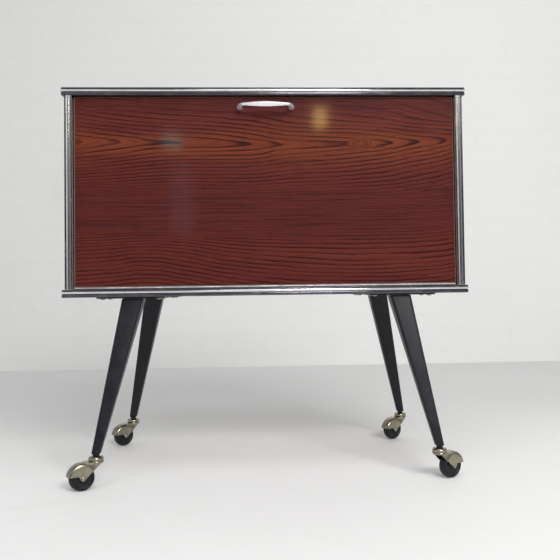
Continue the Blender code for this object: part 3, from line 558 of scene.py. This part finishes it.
def turned(profile, segments, place=Matrix.Identity(4), bm=None):
    """Spin a (radius, height) profile round Z, in a new bmesh or the one given.

    The profile starts and ends on the axis, or closes on itself.
    """
    bm = bmesh.new() if bm is None else bm
    angles = [2 * math.pi * i / segments for i in range(segments)]
    loops = []
    for radius, height in profile:
        if radius == 0.0:
            loops.append([bm.verts.new(place @ Vector((0.0, 0.0, height)))] * segments)
        else:
            loops.append([bm.verts.new(place @ Vector((radius * math.cos(t), radius * math.sin(t),
                                                       height))) for t in angles])
    on_axis = profile[0][0] == 0.0
    for below, above in zip(loops, loops[1:] + ([] if on_axis else loops[:1])):
        for i in range(segments):
            j = (i + 1) % segments
            corners = []
            for vert in (below[i], below[j], above[j], above[i]):
                if vert not in corners:
                    corners.append(vert)
            if len(corners) > 2:
                bm.faces.new(corners)
    return bm


def rod(radius, low, high):
    return [(0.0, low), (radius, low), (radius, high), (0.0, high)]


def prism(outline, low, high):
    """An outline in x and z, drawn out along y."""
    bm = bmesh.new()
    skin(bm, [[(x, y, z) for x, z in outline] for y in (low, high)])
    return bm


def cut(target, operation, bm):
    """Boolean with a tool made of the bmesh; flatten() applies it and removes the tool."""
    step = target.modifiers.new("cut", "BOOLEAN")
    step.operation = operation
    step.solver = "EXACT"
    step.object = put_mesh("tool", bm)


def flatten(target, name, smooth=40):
    """A new mesh with the target's booleans applied; the target and its tools are removed."""
    bpy.context.view_layer.update()
    shape = target.evaluated_get(bpy.context.evaluated_depsgraph_get())
    mesh = bpy.data.meshes.new_from_object(shape)
    mesh.name = name
    for made in [step.object for step in target.modifiers] + [target]:
        bpy.data.objects.remove(made, do_unlink=True)
    mesh.shade_smooth()
    mesh.set_sharp_from_angle(angle=math.radians(smooth))
    return mesh


def soften(made, width):
    """Round the edges that are sharper than 35 degrees."""
    step = made.modifiers.new("soft_edges", "BEVEL")
    step.width = width
    step.segments = 2
    step.limit_method = "ANGLE"
    step.angle_limit = math.radians(35.0)
    step.harden_normals = True


# ---- bands and strips ----
# Sections in millimetres, from the lower or outer edge: (out from the board, along it, painted);
# painted points bound the flats that take the painted dark reflection.
TRIM_WIDE = 11.0
TRIM_BACK = 0.35
TRIM_FLAT = ((3.2, 0.0, 1), (3.9, 0.25, 1), (4.15, 0.8, 1), (4.15, 3.9, 1), (3.95, 4.3, 1),
             (3.3, 4.5, 1))
TRIM_TOP = ((3.3, 9.2, 1), (3.9, 9.35, 1), (4.1, 9.7, 1), (4.0, 10.5, 1), (3.6, 10.85, 1),
            (3.0, 11.0, 1))
BEAD_CENTRE = (2.75, 6.85)
BEAD_R = 2.25
CORNER_FOLD = ((1.0, 0.90), (0.90, 1.0))    # two loops a corner, so that the fold is a little blunt

STRIP_NEAR = ((3.0, 0.0, 1), (3.6, 0.2, 1), (3.75, 0.6, 1), (3.75, 1.9, 1), (3.5, 2.3, 1))
STRIP_FAR = ((3.5, 9.3, 1), (3.75, 9.7, 1), (3.75, 10.4, 1), (3.6, 10.8, 1), (3.0, 11.0, 1))
STRIP_BEAD_CENTRE = (2.75, 5.8)
STRIP_BEAD_HALF = (2.25, 3.30)
STRIP_GAP = 0.3                     # between the strip's back and the section's zero
STRIP_DEPTH = 0.93                  # share of the section's depth that fits the strip
RETURN_DEPTH = 0.01113              # the inner edge turns back this far along the side panel
RETURN_SHEET = 0.00035


def trim_section(near, bead, far):
    """Closed section: flats with a painted dark reflection, and a bright bead between them."""
    return [(TRIM_BACK, 0.0, 1), *near, *[(a, b, 0) for a, b in bead], *far,
            (TRIM_BACK, TRIM_WIDE, 1)]


def trim(node, name, loops, section, mats, closed):
    """The trim's metal; a row is painted where the section's points on both sides of it are."""
    painted = [int(first[2] and last[2]) for first, last in zip(section, section[1:] + section[:1])]
    bm = bmesh.new()
    skin(bm, loops, closed, painted)
    piece(name, bm, mats, "case", [node], smooth=50)


def edge_band(place, mats):
    """A band round all four edges of the case's top or bottom board."""
    node = f"{place}_edge_band"
    low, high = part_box(node)
    scale = (high.z - low.z) / TRIM_WIDE
    section = trim_section(TRIM_FLAT, arc(BEAD_CENTRE, BEAD_R, -74, 74, 14), TRIM_TOP)
    loops = [[(x + sx * out * MM * share_x, y + sy * out * MM * share_y, low.z + up * scale)
              for out, up, _ in section]
             for x, y, sx, sy in box_corners(BOARD_LOW, BOARD_HIGH)
             for share_x, share_y in (CORNER_FOLD if sx == sy else CORNER_FOLD[::-1])]
    trim(node, f"{place}_band_trim", loops, section, mats, True)


def front_strip(place, side, mats):
    """Upright strip on a side panel's front edge, with a broader and flatter bead."""
    node = f"{place}_front_strip"
    low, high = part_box(node)
    bead = [(STRIP_BEAD_CENTRE[0] + STRIP_BEAD_HALF[0] * math.cos(math.radians(angle)),
             STRIP_BEAD_CENTRE[1] + STRIP_BEAD_HALF[1] * math.sin(math.radians(angle)))
            for angle in range(-78, 79, 6)]
    wide = (high.x - low.x) / MM
    outer = high.x if side > 0 else low.x
    inner = outer - side * wide * MM
    section = [(outer - side * across * wide / TRIM_WIDE * MM,
                high.y - (out + STRIP_GAP) * MM * STRIP_DEPTH, painted)
               for out, across, painted in trim_section(STRIP_NEAR, bead, STRIP_FAR)]
    back = low.y + RETURN_DEPTH
    section[-1] = (inner, section[-2][1], 0)
    section += [(inner, back, 0), (inner + side * RETURN_SHEET, back, 0),
                (inner + side * RETURN_SHEET, section[0][1], 0)]
    loops = [[(x, y, z) for x, y, _ in section] for z in (low.z, high.z)]
    trim(node, f"{place}_front_trim", loops, section, mats, False)


# ---- handle ----
HANDLE_KNOTS = (                    # (x, distance from the flap, half height, half thickness)
    (0.0368, 0.0000, 0.0036, 0.0042), (0.0367, 0.0010, 0.0036, 0.0042),
    (0.0364, 0.0055, 0.0033, 0.0037), (0.0355, 0.0115, 0.0029, 0.0031),
    (0.0338, 0.0165, 0.0024, 0.0026), (0.0326, 0.0188, 0.0021, 0.0023),
    (0.0300, 0.0200, 0.0020, 0.0022), (0.0202, 0.0208, 0.0027, 0.0024),
    (0.0102, 0.0214, 0.0033, 0.0025), (0.0000, 0.0215, 0.0036, 0.0026))
KNOT_STEPS = 6
FACETS_START, FACETS_RUN = 0.010, 0.009     # the facets fade in over this distance from the flap
SECTION_STEP = 15                           # degrees between the points of the bar's section
ROUND_BACK = (105, 255)
FACETS = ((0, (0.93, 0.12)), (15, (1.0, 0.34)), (30, (0.86, 0.58)), (90, (0.06, 1.0)),
          (105, (-0.22, 0.97)), (255, (-0.22, -0.97)), (270, (0.06, -1.0)), (360, (0.93, 0.12)))


def facet_point(angle):
    """The bar's section with a ridge above its middle: flat facets in front and a round back."""
    if ROUND_BACK[0] < angle <= ROUND_BACK[1]:
        return math.cos(math.radians(angle)), math.sin(math.radians(angle))
    for (start, first), (end, last) in zip(FACETS, FACETS[1:]):
        if angle <= end:
            share = (angle - start) / (end - start)
            return tuple(a + (b - a) * share for a, b in zip(first, last))


def smooth_path(knots, steps):
    """Catmull-Rom curve through the knots."""
    made = []
    ends = [knots[0], *knots, knots[-1]]
    for four in zip(ends, ends[1:], ends[2:], ends[3:]):
        for step in range(steps):
            t = step / steps
            made.append(tuple(0.5 * (2 * b + (c - a) * t + (2 * a - 5 * b + 4 * c - d) * t * t
                                     + (3 * b - a - 3 * c + d) * t ** 3)
                              for a, b, c, d in zip(*four)))
    return made + [knots[-1]]


def handle(mat):
    """Bow handle whose bar has a soft ridge along its front and swells in the middle."""
    low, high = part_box("flap_handle")
    face, middle = high.y, (low.z + high.z) / 2
    knots = list(HANDLE_KNOTS)
    knots += [(-x, out, tall, thick) for x, out, tall, thick in knots[-2::-1]]
    path = smooth_path(knots, KNOT_STEPS)
    last = len(path) - 1
    loops = []
    for i, (x, out, tall, thick) in enumerate(path):
        before, after = path[max(i - 1, 0)], path[min(i + 1, last)]
        way = Vector((after[0] - before[0], before[1] - after[1], 0.0)).normalized()
        if i in (0, last):
            way = Vector((0.0, -1.0 if i == 0 else 1.0, 0.0))
        across = Vector((-way.y, way.x, 0.0))
        faceted = min(1.0, max(0.0, (out - FACETS_START) / FACETS_RUN))
        centre = Vector((x, face - out, middle))
        ring = []
        for angle in range(0, 360, SECTION_STEP):
            round_at = Vector((math.cos(math.radians(angle)), math.sin(math.radians(angle))))
            at = round_at.lerp(Vector(facet_point(angle)), faceted)
            ring.append(centre + across * (thick * at.x) + Vector((0, 0, tall * at.y)))
        loops.append(ring)
    bm = bmesh.new()
    skin(bm, loops)
    piece("bow_handle", bm, [mat], "flap", ["flap_handle"], smooth=60)


# ---- legs and their plates ----
# corner: (side in x, side in y, the caster's heading in degrees)
PLACES = {"front_left": (-1, -1, 208.0), "front_right": (1, -1, 31.0),
          "rear_left": (-1, 1, 221.0), "rear_right": (1, 1, 213.0)}
LEG_TOP = (0.189, 0.100)            # from the case's middle, in x and y
LEG_FOOT = (0.2335, 0.145)
LEG_TOP_HALF = 0.015
LEG_FOOT_HALF = 0.0058
LEG_FOOT_Z = 0.0460
LEG_NECK_HALF = 0.0043
LEG_STEPS = (0.0, 0.02, 0.06, 0.2, 0.4, 0.6, 0.8, 0.95, 1.0)
LEG_ROUNDING = (0.0020, 0.0042)     # of the leg's edges, at the foot and at the top
PLATE_SCREW_INSET = 0.0085
PLATE_SCREW_ROOM = 0.005            # from the leg's side
PLATE_SCREW_SHIFT = 0.006

HEAD_SUNK = 0.0002
HEAD_RIM = 0.25                     # shares of a screw head's rise and radius
HEAD_SLOT_DEPTH = 0.45
HEAD_SLOT_HALF = 0.14


def at_corner(place, point):
    """A point of one corner of the box, given by its distances from the middle."""
    side, end, _ = PLACES[place]
    return side * point[0], end * point[1] + MIDDLE_Y


def leg(place, mat):
    """Tapered tube of square section with rounded edges, a swaged foot and a round neck."""
    low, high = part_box(f"leg_{place}")
    top, foot = (Vector(at_corner(place, point)) for point in (LEG_TOP, LEG_FOOT))
    rise = high.z - low.z
    neck = LEG_FOOT_Z - low.z
    stages = [(0.0, LEG_NECK_HALF, 0.0042), (neck - 0.0002, LEG_NECK_HALF, 0.0042),
              (neck, 0.0046, 0.0040), (neck + 0.0004, 0.0052, 0.0032),
              (neck + 0.0012, LEG_FOOT_HALF, 0.0024)]
    start = neck + 0.0022
    for step in LEG_STEPS:
        up = start + (rise - start) * step
        share = (up - neck) / (rise - neck)
        stages.append((up, LEG_FOOT_HALF + (LEG_TOP_HALF - LEG_FOOT_HALF) * share,
                       LEG_ROUNDING[0] + (LEG_ROUNDING[1] - LEG_ROUNDING[0]) * share))
    loops = []
    for up, half, corner in stages:
        centre = foot.lerp(top, max(0.0, (up - neck) / (rise - neck)))
        reach = Vector((half, half))
        loops.append(rounded_ring(centre - reach, centre + reach, 0.0, corner, low.z + up, 6))
    bm = bmesh.new()
    skin(bm, loops)
    piece(f"tapered_leg_{place}", bm, [mat], "case", [f"leg_{place}"], smooth=40)


def screw_head(bm, place, radius, rise):
    """Oval head with a slot, standing on the XY plane of its place."""
    rim = rise * HEAD_RIM
    dome = [(radius * math.cos(math.radians(t)), rim + (rise - rim) * math.sin(math.radians(t)))
            for t in range(0, 90, 15)]
    head = turned([(0.0, -HEAD_SUNK), (radius, -HEAD_SUNK), *dome, (0.0, rise)], 24)
    for vert in head.verts:
        if abs(vert.co.y) < radius * HEAD_SLOT_HALF and vert.co.z > rim:
            vert.co.z = max(rim, vert.co.z - rise * HEAD_SLOT_DEPTH)
    mesh = bpy.data.meshes.new("head")
    head.to_mesh(mesh)
    head.free()
    mesh.transform(place)
    bm.from_mesh(mesh)
    bpy.data.meshes.remove(mesh)


def screws(name, heads, radius, rise, mat, body):
    """Several screw heads as one piece; heads are (point, axis, turn in degrees)."""
    bm = bmesh.new()
    for point, axis, turn in heads:
        outward = Vector(axis).to_track_quat("Z", "Y").to_matrix().to_4x4()
        place = Matrix.Translation(point) @ outward @ Matrix.Rotation(math.radians(turn), 4, "Z")
        screw_head(bm, place, radius, rise)
    piece(name, bm, [mat], body)


def leg_plate_screws(place, mat):
    """A screw in each corner of the plate; one that the leg would cover stands beside the leg."""
    low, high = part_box(f"leg_plate_{place}")
    leg_x, leg_y = at_corner(place, LEG_TOP)
    corners = box_corners(low, high)
    heads = []
    for i, (x, y, sx, sy) in enumerate(corners[2:] + corners[:2]):
        x -= sx * PLATE_SCREW_INSET
        y -= sy * PLATE_SCREW_INSET
        if max(abs(x - leg_x), abs(y - leg_y)) < LEG_TOP_HALF + PLATE_SCREW_ROOM:
            x += math.copysign(PLATE_SCREW_SHIFT, x - leg_x)
        heads.append(((x, y, low.z), (0, 0, -1), 25 + 70 * i))
    screws(f"leg_plate_screws_{place}", heads, 0.0036, 0.0019, mat, "case")


# ---- casters ----
# In a caster's own space: the kingpin is the Z axis, and the wheel trails towards +X.
WHEEL_R = 0.0170
TRAIL = 0.0195
HOOD_R = 0.0199
HOOD_HALF = 0.0090
HOOD_SHEET = 0.0014
HOOD_INSIDE = HOOD_HALF - HOOD_SHEET
AXLE_LINE = Matrix.Translation((TRAIL, 0.0, WHEEL_R)) @ Matrix.Rotation(-math.pi / 2, 4, "X")

# Outlines in x and z.
HOOD_SIDE = [(0.0460, 0.0202), (0.0460, 0.0450), (-0.0125, 0.0450),
             *arc((TRAIL, WHEEL_R), 0.0032, 215, 335, 12),
             *arc((0.0268, 0.0226), 0.0024, 235, 270, 4)]
HOOD_NECK = [(-0.0052, 0.0369), (-0.0052, 0.0354), (-0.0031, 0.0338), (0.0070, 0.0238),
             (0.0157, 0.0292), (0.0172, 0.0352), (0.0160, 0.0366), (0.0098, 0.0371)]
HOOD_ROOM = [(-0.0120, 0.0347), (-0.0120, 0.0080), (0.0195, 0.0080), (0.0163, 0.0346),
             (0.0060, 0.0347)]
# Turned sections as (radius, height); the wheel's and the axle's are one half of them.
FLANGE = [(0.0, 0.0343), (0.0085, 0.0343), (0.0097, 0.0349), (0.0101, 0.0356), (0.0101, 0.0368),
          (0.0098, 0.0374), (0.0091, 0.0376), (0.0, 0.0376)]
SOCKET = [(0.0, 0.0555), (0.0028, 0.0555), (0.0030, 0.0550), (0.0030, 0.0438), (0.0064, 0.0437),
          (0.0080, 0.0432), (0.0092, 0.0424), (0.0099, 0.0415), (0.0102, 0.0406), (0.0103, 0.0397),
          (0.0102, 0.0385), (0.0099, 0.0380), (0.0094, 0.0379), (0.0025, 0.0379), (0.0025, 0.0344),
          (0.0040, 0.0344), (0.0039, 0.0337), (0.0030, 0.0330), (0.0, 0.0328)]
AXLE_OUT = HOOD_HALF + 0.0003
AXLE_CAP = [(0.0015, AXLE_OUT), (0.0027, AXLE_OUT), (0.0026, AXLE_OUT + 0.0004),
            (0.0021, AXLE_OUT + 0.0008), (0.0012, AXLE_OUT + 0.00095), (0.0, AXLE_OUT + 0.0010)]
WHEEL = [(0.0019, 0.0062), (0.0022, 0.0065), (0.0046, 0.0065), (0.0050, 0.0062), (0.0055, 0.0053),
         (0.0062, 0.0049), (0.0112, 0.0047), (0.0118, 0.0050), (0.0123, 0.0058), (0.0130, 0.0063),
         (0.0139, 0.0064), (0.0149, 0.0061), (0.0156, 0.0055), (0.0161, 0.0046), (0.0166, 0.0034),
         (0.0169, 0.0018), (0.01698, 0.0006), (0.0168, 0.0003)]


def other_half(section):
    return [(radius, -level) for radius, level in section[::-1]]


def disc(radius, half, rounding, steps):
    """A disc with rounded rims on the wheel's axis."""
    rim = arc((radius - rounding, half - rounding), rounding, 0, 90, steps) + [(0.0, half)]
    return turned(other_half(rim) + rim, 72, AXLE_LINE)


def hood_mesh():
    """Sheet hood over the wheel: arch, cheeks down to the axle, blended neck, round flange."""
    shell = put_mesh("hood", disc(HOOD_R, HOOD_HALF, 0.0046, 8))
    cut(shell, "INTERSECT", prism(HOOD_SIDE, -0.02, 0.02))
    cut(shell, "UNION", prism(HOOD_NECK, -HOOD_HALF + 0.0004, HOOD_HALF - 0.0004))
    cut(shell, "UNION", turned(FLANGE, 48))
    cut(shell, "DIFFERENCE", disc(HOOD_R - HOOD_SHEET, HOOD_INSIDE, 0.0034, 6))
    cut(shell, "DIFFERENCE", prism(HOOD_ROOM, -HOOD_INSIDE + 0.0003, HOOD_INSIDE - 0.0003))
    cut(shell, "DIFFERENCE", turned(rod(0.0019, -0.012, 0.012), 16, AXLE_LINE))
    cut(shell, "DIFFERENCE", turned(rod(0.0030, 0.030, 0.042), 16))
    return flatten(shell, "hood")


def casters(antique, tyre):
    hood = hood_mesh()
    hood.materials.append(antique)
    for place, (_, _, heading) in PLACES.items():
        stand = Matrix.Translation((*at_corner(place, LEG_FOOT), 0.0))
        swivel = stand @ Matrix.Rotation(math.radians(heading), 4, "Z")
        piece(f"socket_ring_{place}", turned(SOCKET, 48), [antique], "case",
              [f"caster_socket_{place}"], place=stand)

        made = bpy.data.objects.new(f"hood_{place}", hood)
        bpy.context.collection.objects.link(made)
        made.matrix_world = swivel
        soften(made, 0.00022)
        settle_on(made, f"swivel_{place}", [f"caster_hood_{place}"])

        axle = turned(other_half(AXLE_CAP) + AXLE_CAP, 32, AXLE_LINE)
        piece(f"axle_{place}", axle, [antique], f"swivel_{place}",
              [f"caster_axle_{place}"], place=swivel)
        wheel = turned(WHEEL + other_half(WHEEL), 72, AXLE_LINE)
        piece(f"wheel_tyre_{place}", wheel, [tyre], f"wheel_{place}",
              [f"caster_wheel_{place}"], place=swivel)


# ---- trays ----
TRAYS = ("lower", "middle", "upper")
PIN_PLACES = ((0.045, 0.030), (0.097, 0.044))   # of a tray's two pins, behind and above the hinge
PIN_STEP = 0.060
ARM_X = 0.2625
TRAY_X = 0.2605
# Section of a tray: (inset from its outside, corner radius, height), from the bottom or the top.
TRAY_FOOT = ((0.0062, 0.0020, 0.0), (0.0034, 0.0034, 0.0001), (0.0018, 0.0045, 0.0007),
             (0.0011, 0.0052, 0.0020), (0.0009, 0.0056, 0.0045))
TRAY_RIM = ((0.0004, 0.0060, -0.0052), (0.0004, 0.0060, -0.0046), (0.0, 0.0062, -0.0040),
            (0.0, 0.0062, -0.0008), (0.0003, 0.0060, -0.0002), (0.0008, 0.0056, 0.0),
            (0.0020, 0.0044, 0.0), (0.0026, 0.0042, -0.0004), (0.0027, 0.0041, -0.0012))
TRAY_INSIDE = ((0.0030, 0.0040, 0.0060), (0.0034, 0.0040, 0.0042), (0.0048, 0.0036, 0.0031),
               (0.0066, 0.0030, 0.0029))
# A tray's pin from its root in the tray's end: a shoulder up to the arm, and a riveted head.
PIN_ROOT = TRAY_X - 0.0012
SHOULDER = ARM_X - 0.0003 - PIN_ROOT
RIVET = ARM_X + 0.0023 - PIN_ROOT
TRAY_PIN = [(0.0, 0.0), (0.0045, 0.0), (0.0045, SHOULDER - 0.0002), (0.0043, SHOULDER),
            (0.0025, SHOULDER), (0.0025, RIVET), (0.0045, RIVET), (0.0044, RIVET + 0.0006),
            (0.0036, RIVET + 0.0012), (0.0022, RIVET + 0.0015), (0.0, RIVET + 0.0016)]


def tray(index, ivory, steel):
    """Moulded tray with drafted walls, a rounded foot and a thickened rim, and its steel pins."""
    name = TRAYS[index]
    low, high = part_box(f"{name}_tray")
    low.x, high.x = -TRAY_X, TRAY_X
    stages = [(inset, corner, base + up)
              for base, part in ((low.z, TRAY_FOOT), (high.z, TRAY_RIM), (low.z, TRAY_INSIDE))
              for inset, corner, up in part]
    bm = bmesh.new()
    skin(bm, [rounded_ring(low, high, *stage, 8) for stage in stages])
    piece(f"moulded_tray_{name}", bm, [ivory], f"tray_{name}", [f"{name}_tray"],
          smooth=45)
    pins = bmesh.new()
    for side in (-1, 1):
        for behind, above in PIN_PLACES:
            at = (side * PIN_ROOT, HINGE_Y + behind + index * PIN_STEP,
                  HINGE_Z + above + index * PIN_STEP)
            line = Matrix.Translation(at) @ Matrix.Rotation(side * math.pi / 2, 4, "Y")
            turned(TRAY_PIN, 32, line, pins)
    piece(f"tray_pins_{name}", pins, [steel], f"tray_{name}")


# ---- small fixings ----
BRACKET_X = 0.270 - 0.0018          # the side panels' inner faces, less the brackets' plates
ARM_FOOT_X = ARM_X - 0.0080
ARM_FOOT_PLATE = 0.0021
LEAF_TOP = HINGE_Z - 0.0008         # of the hinge's lower leaf
HINGE_SCREW_X = 0.235
BACK_INSET = 0.006                  # of the back panel's pins, from the sides
BACK_RISE = 0.005                   # and from the top and bottom


def fixings(steel):
    """Screws and nails that hold the sheet parts; they stand on the surfaces they fix."""
    for name, side in (("left", -1), ("right", 1)):
        foot_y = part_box(f"{name}_flap_arm")[0].y + ARM_FOOT_PLATE
        heads = [((side * ARM_FOOT_X, foot_y, HINGE_Z + up), (0, 1, 0), turn)
                 for up, turn in ((0.015, 20), (0.045, 70))]
        screws(f"{name}_arm_screws", heads, 0.0033, 0.0014, steel, "flap")
        low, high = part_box(f"{name}_pivot_bracket")
        middle = (low.y + high.y) / 2
        heads = [((side * BRACKET_X, middle + step, high.z - 0.0042), (-side, 0, 0), turn)
                 for step, turn in ((-0.0125, -77.5), (0.0125, 147.5))]
        screws(f"{name}_bracket_screws", heads, 0.0026, 0.0009, steel, "case")

    screw_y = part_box("hinge_lower_leaf")[1].y - 0.0026
    heads = [((x, screw_y, LEAF_TOP), (0, 0, 1), 40 * i)
             for i, x in enumerate(spread(-HINGE_SCREW_X, HINGE_SCREW_X, 7))]
    screws("hinge_lower_screws", heads, 0.0019, 0.0004, steel, "case")

    low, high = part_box("back_panel")
    left, right = low.x + BACK_INSET, high.x - BACK_INSET
    bottom, top = low.z + BACK_RISE, high.z - BACK_RISE
    places = []
    for i, x in enumerate(spread(left, right, 9)):
        places += [(x, bottom, 31 * i), (x, top, 47 * i)]
    for i, z in enumerate(spread(bottom, top, 5)[1:-1]):
        places += [(left, z, 53 * i), (right, z, 71 * i)]
    heads = [((x, high.y, z), (0, 1, 0), turn) for x, z, turn in places]
    screws("back_panel_screws", heads, 0.0026, 0.0010, steel, "case")


# ---- stage, light and room ----
# Room light as (place, level); places run from level to straight up, or from left to right.
ROOM_ABOVE = ((0.0, 0.06), (0.06, 0.05), (0.20, 0.10), (0.28, 0.24), (0.36, 0.72), (0.62, 0.72),
              (0.76, 0.22), (1.0, 0.22))
ROOM_BESIDE = ((0.0, 0.85), (0.12, 0.95), (0.235, 0.0), (0.76, 0.0), (0.88, 0.24), (1.0, 0.26))
ROOM_LOW_DOWN = ((0.0, 0.45), (0.05, 0.8), (0.22, 1.0), (0.40, 0.0))    # height of the side light
# Lights as name: (place, target, size, power, colour). The lamps only show in the flap's coat.
LIGHTS = {
    "key": ((0.85, -2.5, 1.75), (0.10, 0.15, 0.05), (1.4, 0.75), 58.0, (1.0, 0.995, 0.985)),
    "overhead": ((0.0, -1.0, 2.4), (-0.1, -0.5, 0.0), (1.5, 0.9), 12.5, (0.98, 0.99, 1.0)),
    "lamp_right": ((0.26, -2.3, 1.02), (0.08, -0.1, 0.5), (0.055, 0.085), 0.37, (1.0, 0.65, 0.19)),
    "lamp_left": ((-0.39, -2.3, 0.915), (-0.13, -0.1, 0.47), (0.08, 0.07), 0.08, (0.45, 1.0, 0.85)),
    "lamp_low": ((-0.35, -2.3, 0.66), (-0.13, -0.1, 0.4), (0.09, 0.3), 0.085, (0.60, 0.72, 1.0)),
}


def make_stage():
    """Pale floor that meets a pale wall behind the object."""
    s = STAGE_SIZE
    floor = ((-s, -s, 0), (s, -s, 0), (s, WALL_Y, 0), (-s, WALL_Y, 0))
    wall = ((-s, WALL_Y, 0), (s, WALL_Y, 0), (s, WALL_Y, WALL_HEIGHT), (-s, WALL_Y, WALL_HEIGHT))
    for name, corners, mat in (("floor", floor, floor_material("pale_floor")),
                               ("wall", wall, wall_material("pale_wall"))):
        bm = bmesh.new()
        bm.faces.new([bm.verts.new(corner) for corner in corners])
        made = put_mesh(name, bm)
        made.data.materials.append(mat)


def make_lights():
    for name, (place, target, size, power, color) in LIGHTS.items():
        data = bpy.data.lights.new(name, "AREA")
        data.shape = "RECTANGLE"
        data.size, data.size_y = size
        data.energy = power
        data.color = color
        made = bpy.data.objects.new(name, data)
        bpy.context.collection.objects.link(made)
        made.location = place
        made.rotation_euler = (Vector(target) - Vector(place)).to_track_quat("-Z", "Y").to_euler()


def make_world():
    """Soft room light: dark at eye level in front, bright above and on both sides, most so left."""
    world = bpy.data.worlds.new("room")
    bpy.context.scene.world = world
    world.use_nodes = True
    room = Tree(world.node_tree)
    x, _, z = room.split(room.node("TexCoord").outputs["Generated"])
    above = room.ramp(z, ROOM_ABOVE, 1.01)
    beside = room.ramp(room.span(x, -1.0, 1.0, smooth=False), ROOM_BESIDE, 1.03)
    sides = room.mix(1.0, beside, room.ramp(z, ROOM_LOW_DOWN), "MULTIPLY")
    background = room.tree.nodes["Background"]
    room.put(background.inputs[0], room.mix(1.0, above, sides, "ADD"))
    room.put(background.inputs[1], 1.0)


# ---- the whole scene ----
STEEL_WORDS = ("hinge", "arm", "bracket", "catch_plate", "screw")


def paint(mat, *names, soft=None):
    """Give CAD parts a material, and a soft edge of that width."""
    for name in names:
        slots = NODES[name].data.materials
        slots.clear()
        slots.append(mat)
        if soft:
            soften(NODES[name], soft)


def main():
    bpy.context.scene.view_settings.view_transform = "Standard"
    make_camera()
    make_world()
    make_lights()
    make_stage()

    black = enamel("black_enamel")
    antique = brass("antique_brass")
    steel = zinc("zinc_steel")
    ivory = plastic("ivory_plastic", IVORY, IVORY_SHADE)
    paint(laminate("rosewood_front", 0, 2, edged=True), "flap_panel")
    paint(laminate("rosewood_top", 0, 1, (0.0, 0.40)), "top_panel", "bottom_panel", soft=0.0004)
    paint(laminate("rosewood_side", 1, 2, (0.05, 0.0)), "left_side_panel", "right_side_panel",
          soft=0.0004)
    paint(pressed_board("hardboard"), "back_panel", soft=0.0004)
    paint(plastic("brown_plastic", BROWN, BROWN_SHADE), "magnet_catch", soft=0.0004)
    for name in NODES:
        if name.startswith("leg_plate"):
            paint(black, name, soft=0.0005)
        elif "divider" in name:
            paint(ivory, name, soft=0.0006)
        elif any(word in name for word in STEEL_WORDS):
            paint(steel, name, soft=0.0003 if "arm" in name else None)

    # the trims' flats take a painted dark reflection
    level = [polished("polished_metal"), trim_dark_reflection("trim_dark_reflection")]
    upright = [polished("polished_upright", UPRIGHT_STREAK, rough=(0.10, 0.17), grooved=0.02),
               trim_dark_reflection("trim_dark_reflection_upright", UPRIGHT_STREAK)]
    for place in ("top", "bottom"):
        edge_band(place, level)
    for place, side in (("left", -1), ("right", 1)):
        front_strip(place, side, upright)
    handle(satin("satin_metal"))
    for place in PLACES:
        leg(place, black)
        leg_plate_screws(place, antique)
    casters(antique, rubber("black_rubber"))
    for index in range(len(TRAYS)):
        tray(index, ivory, steel)
    fixings(steel)


main()
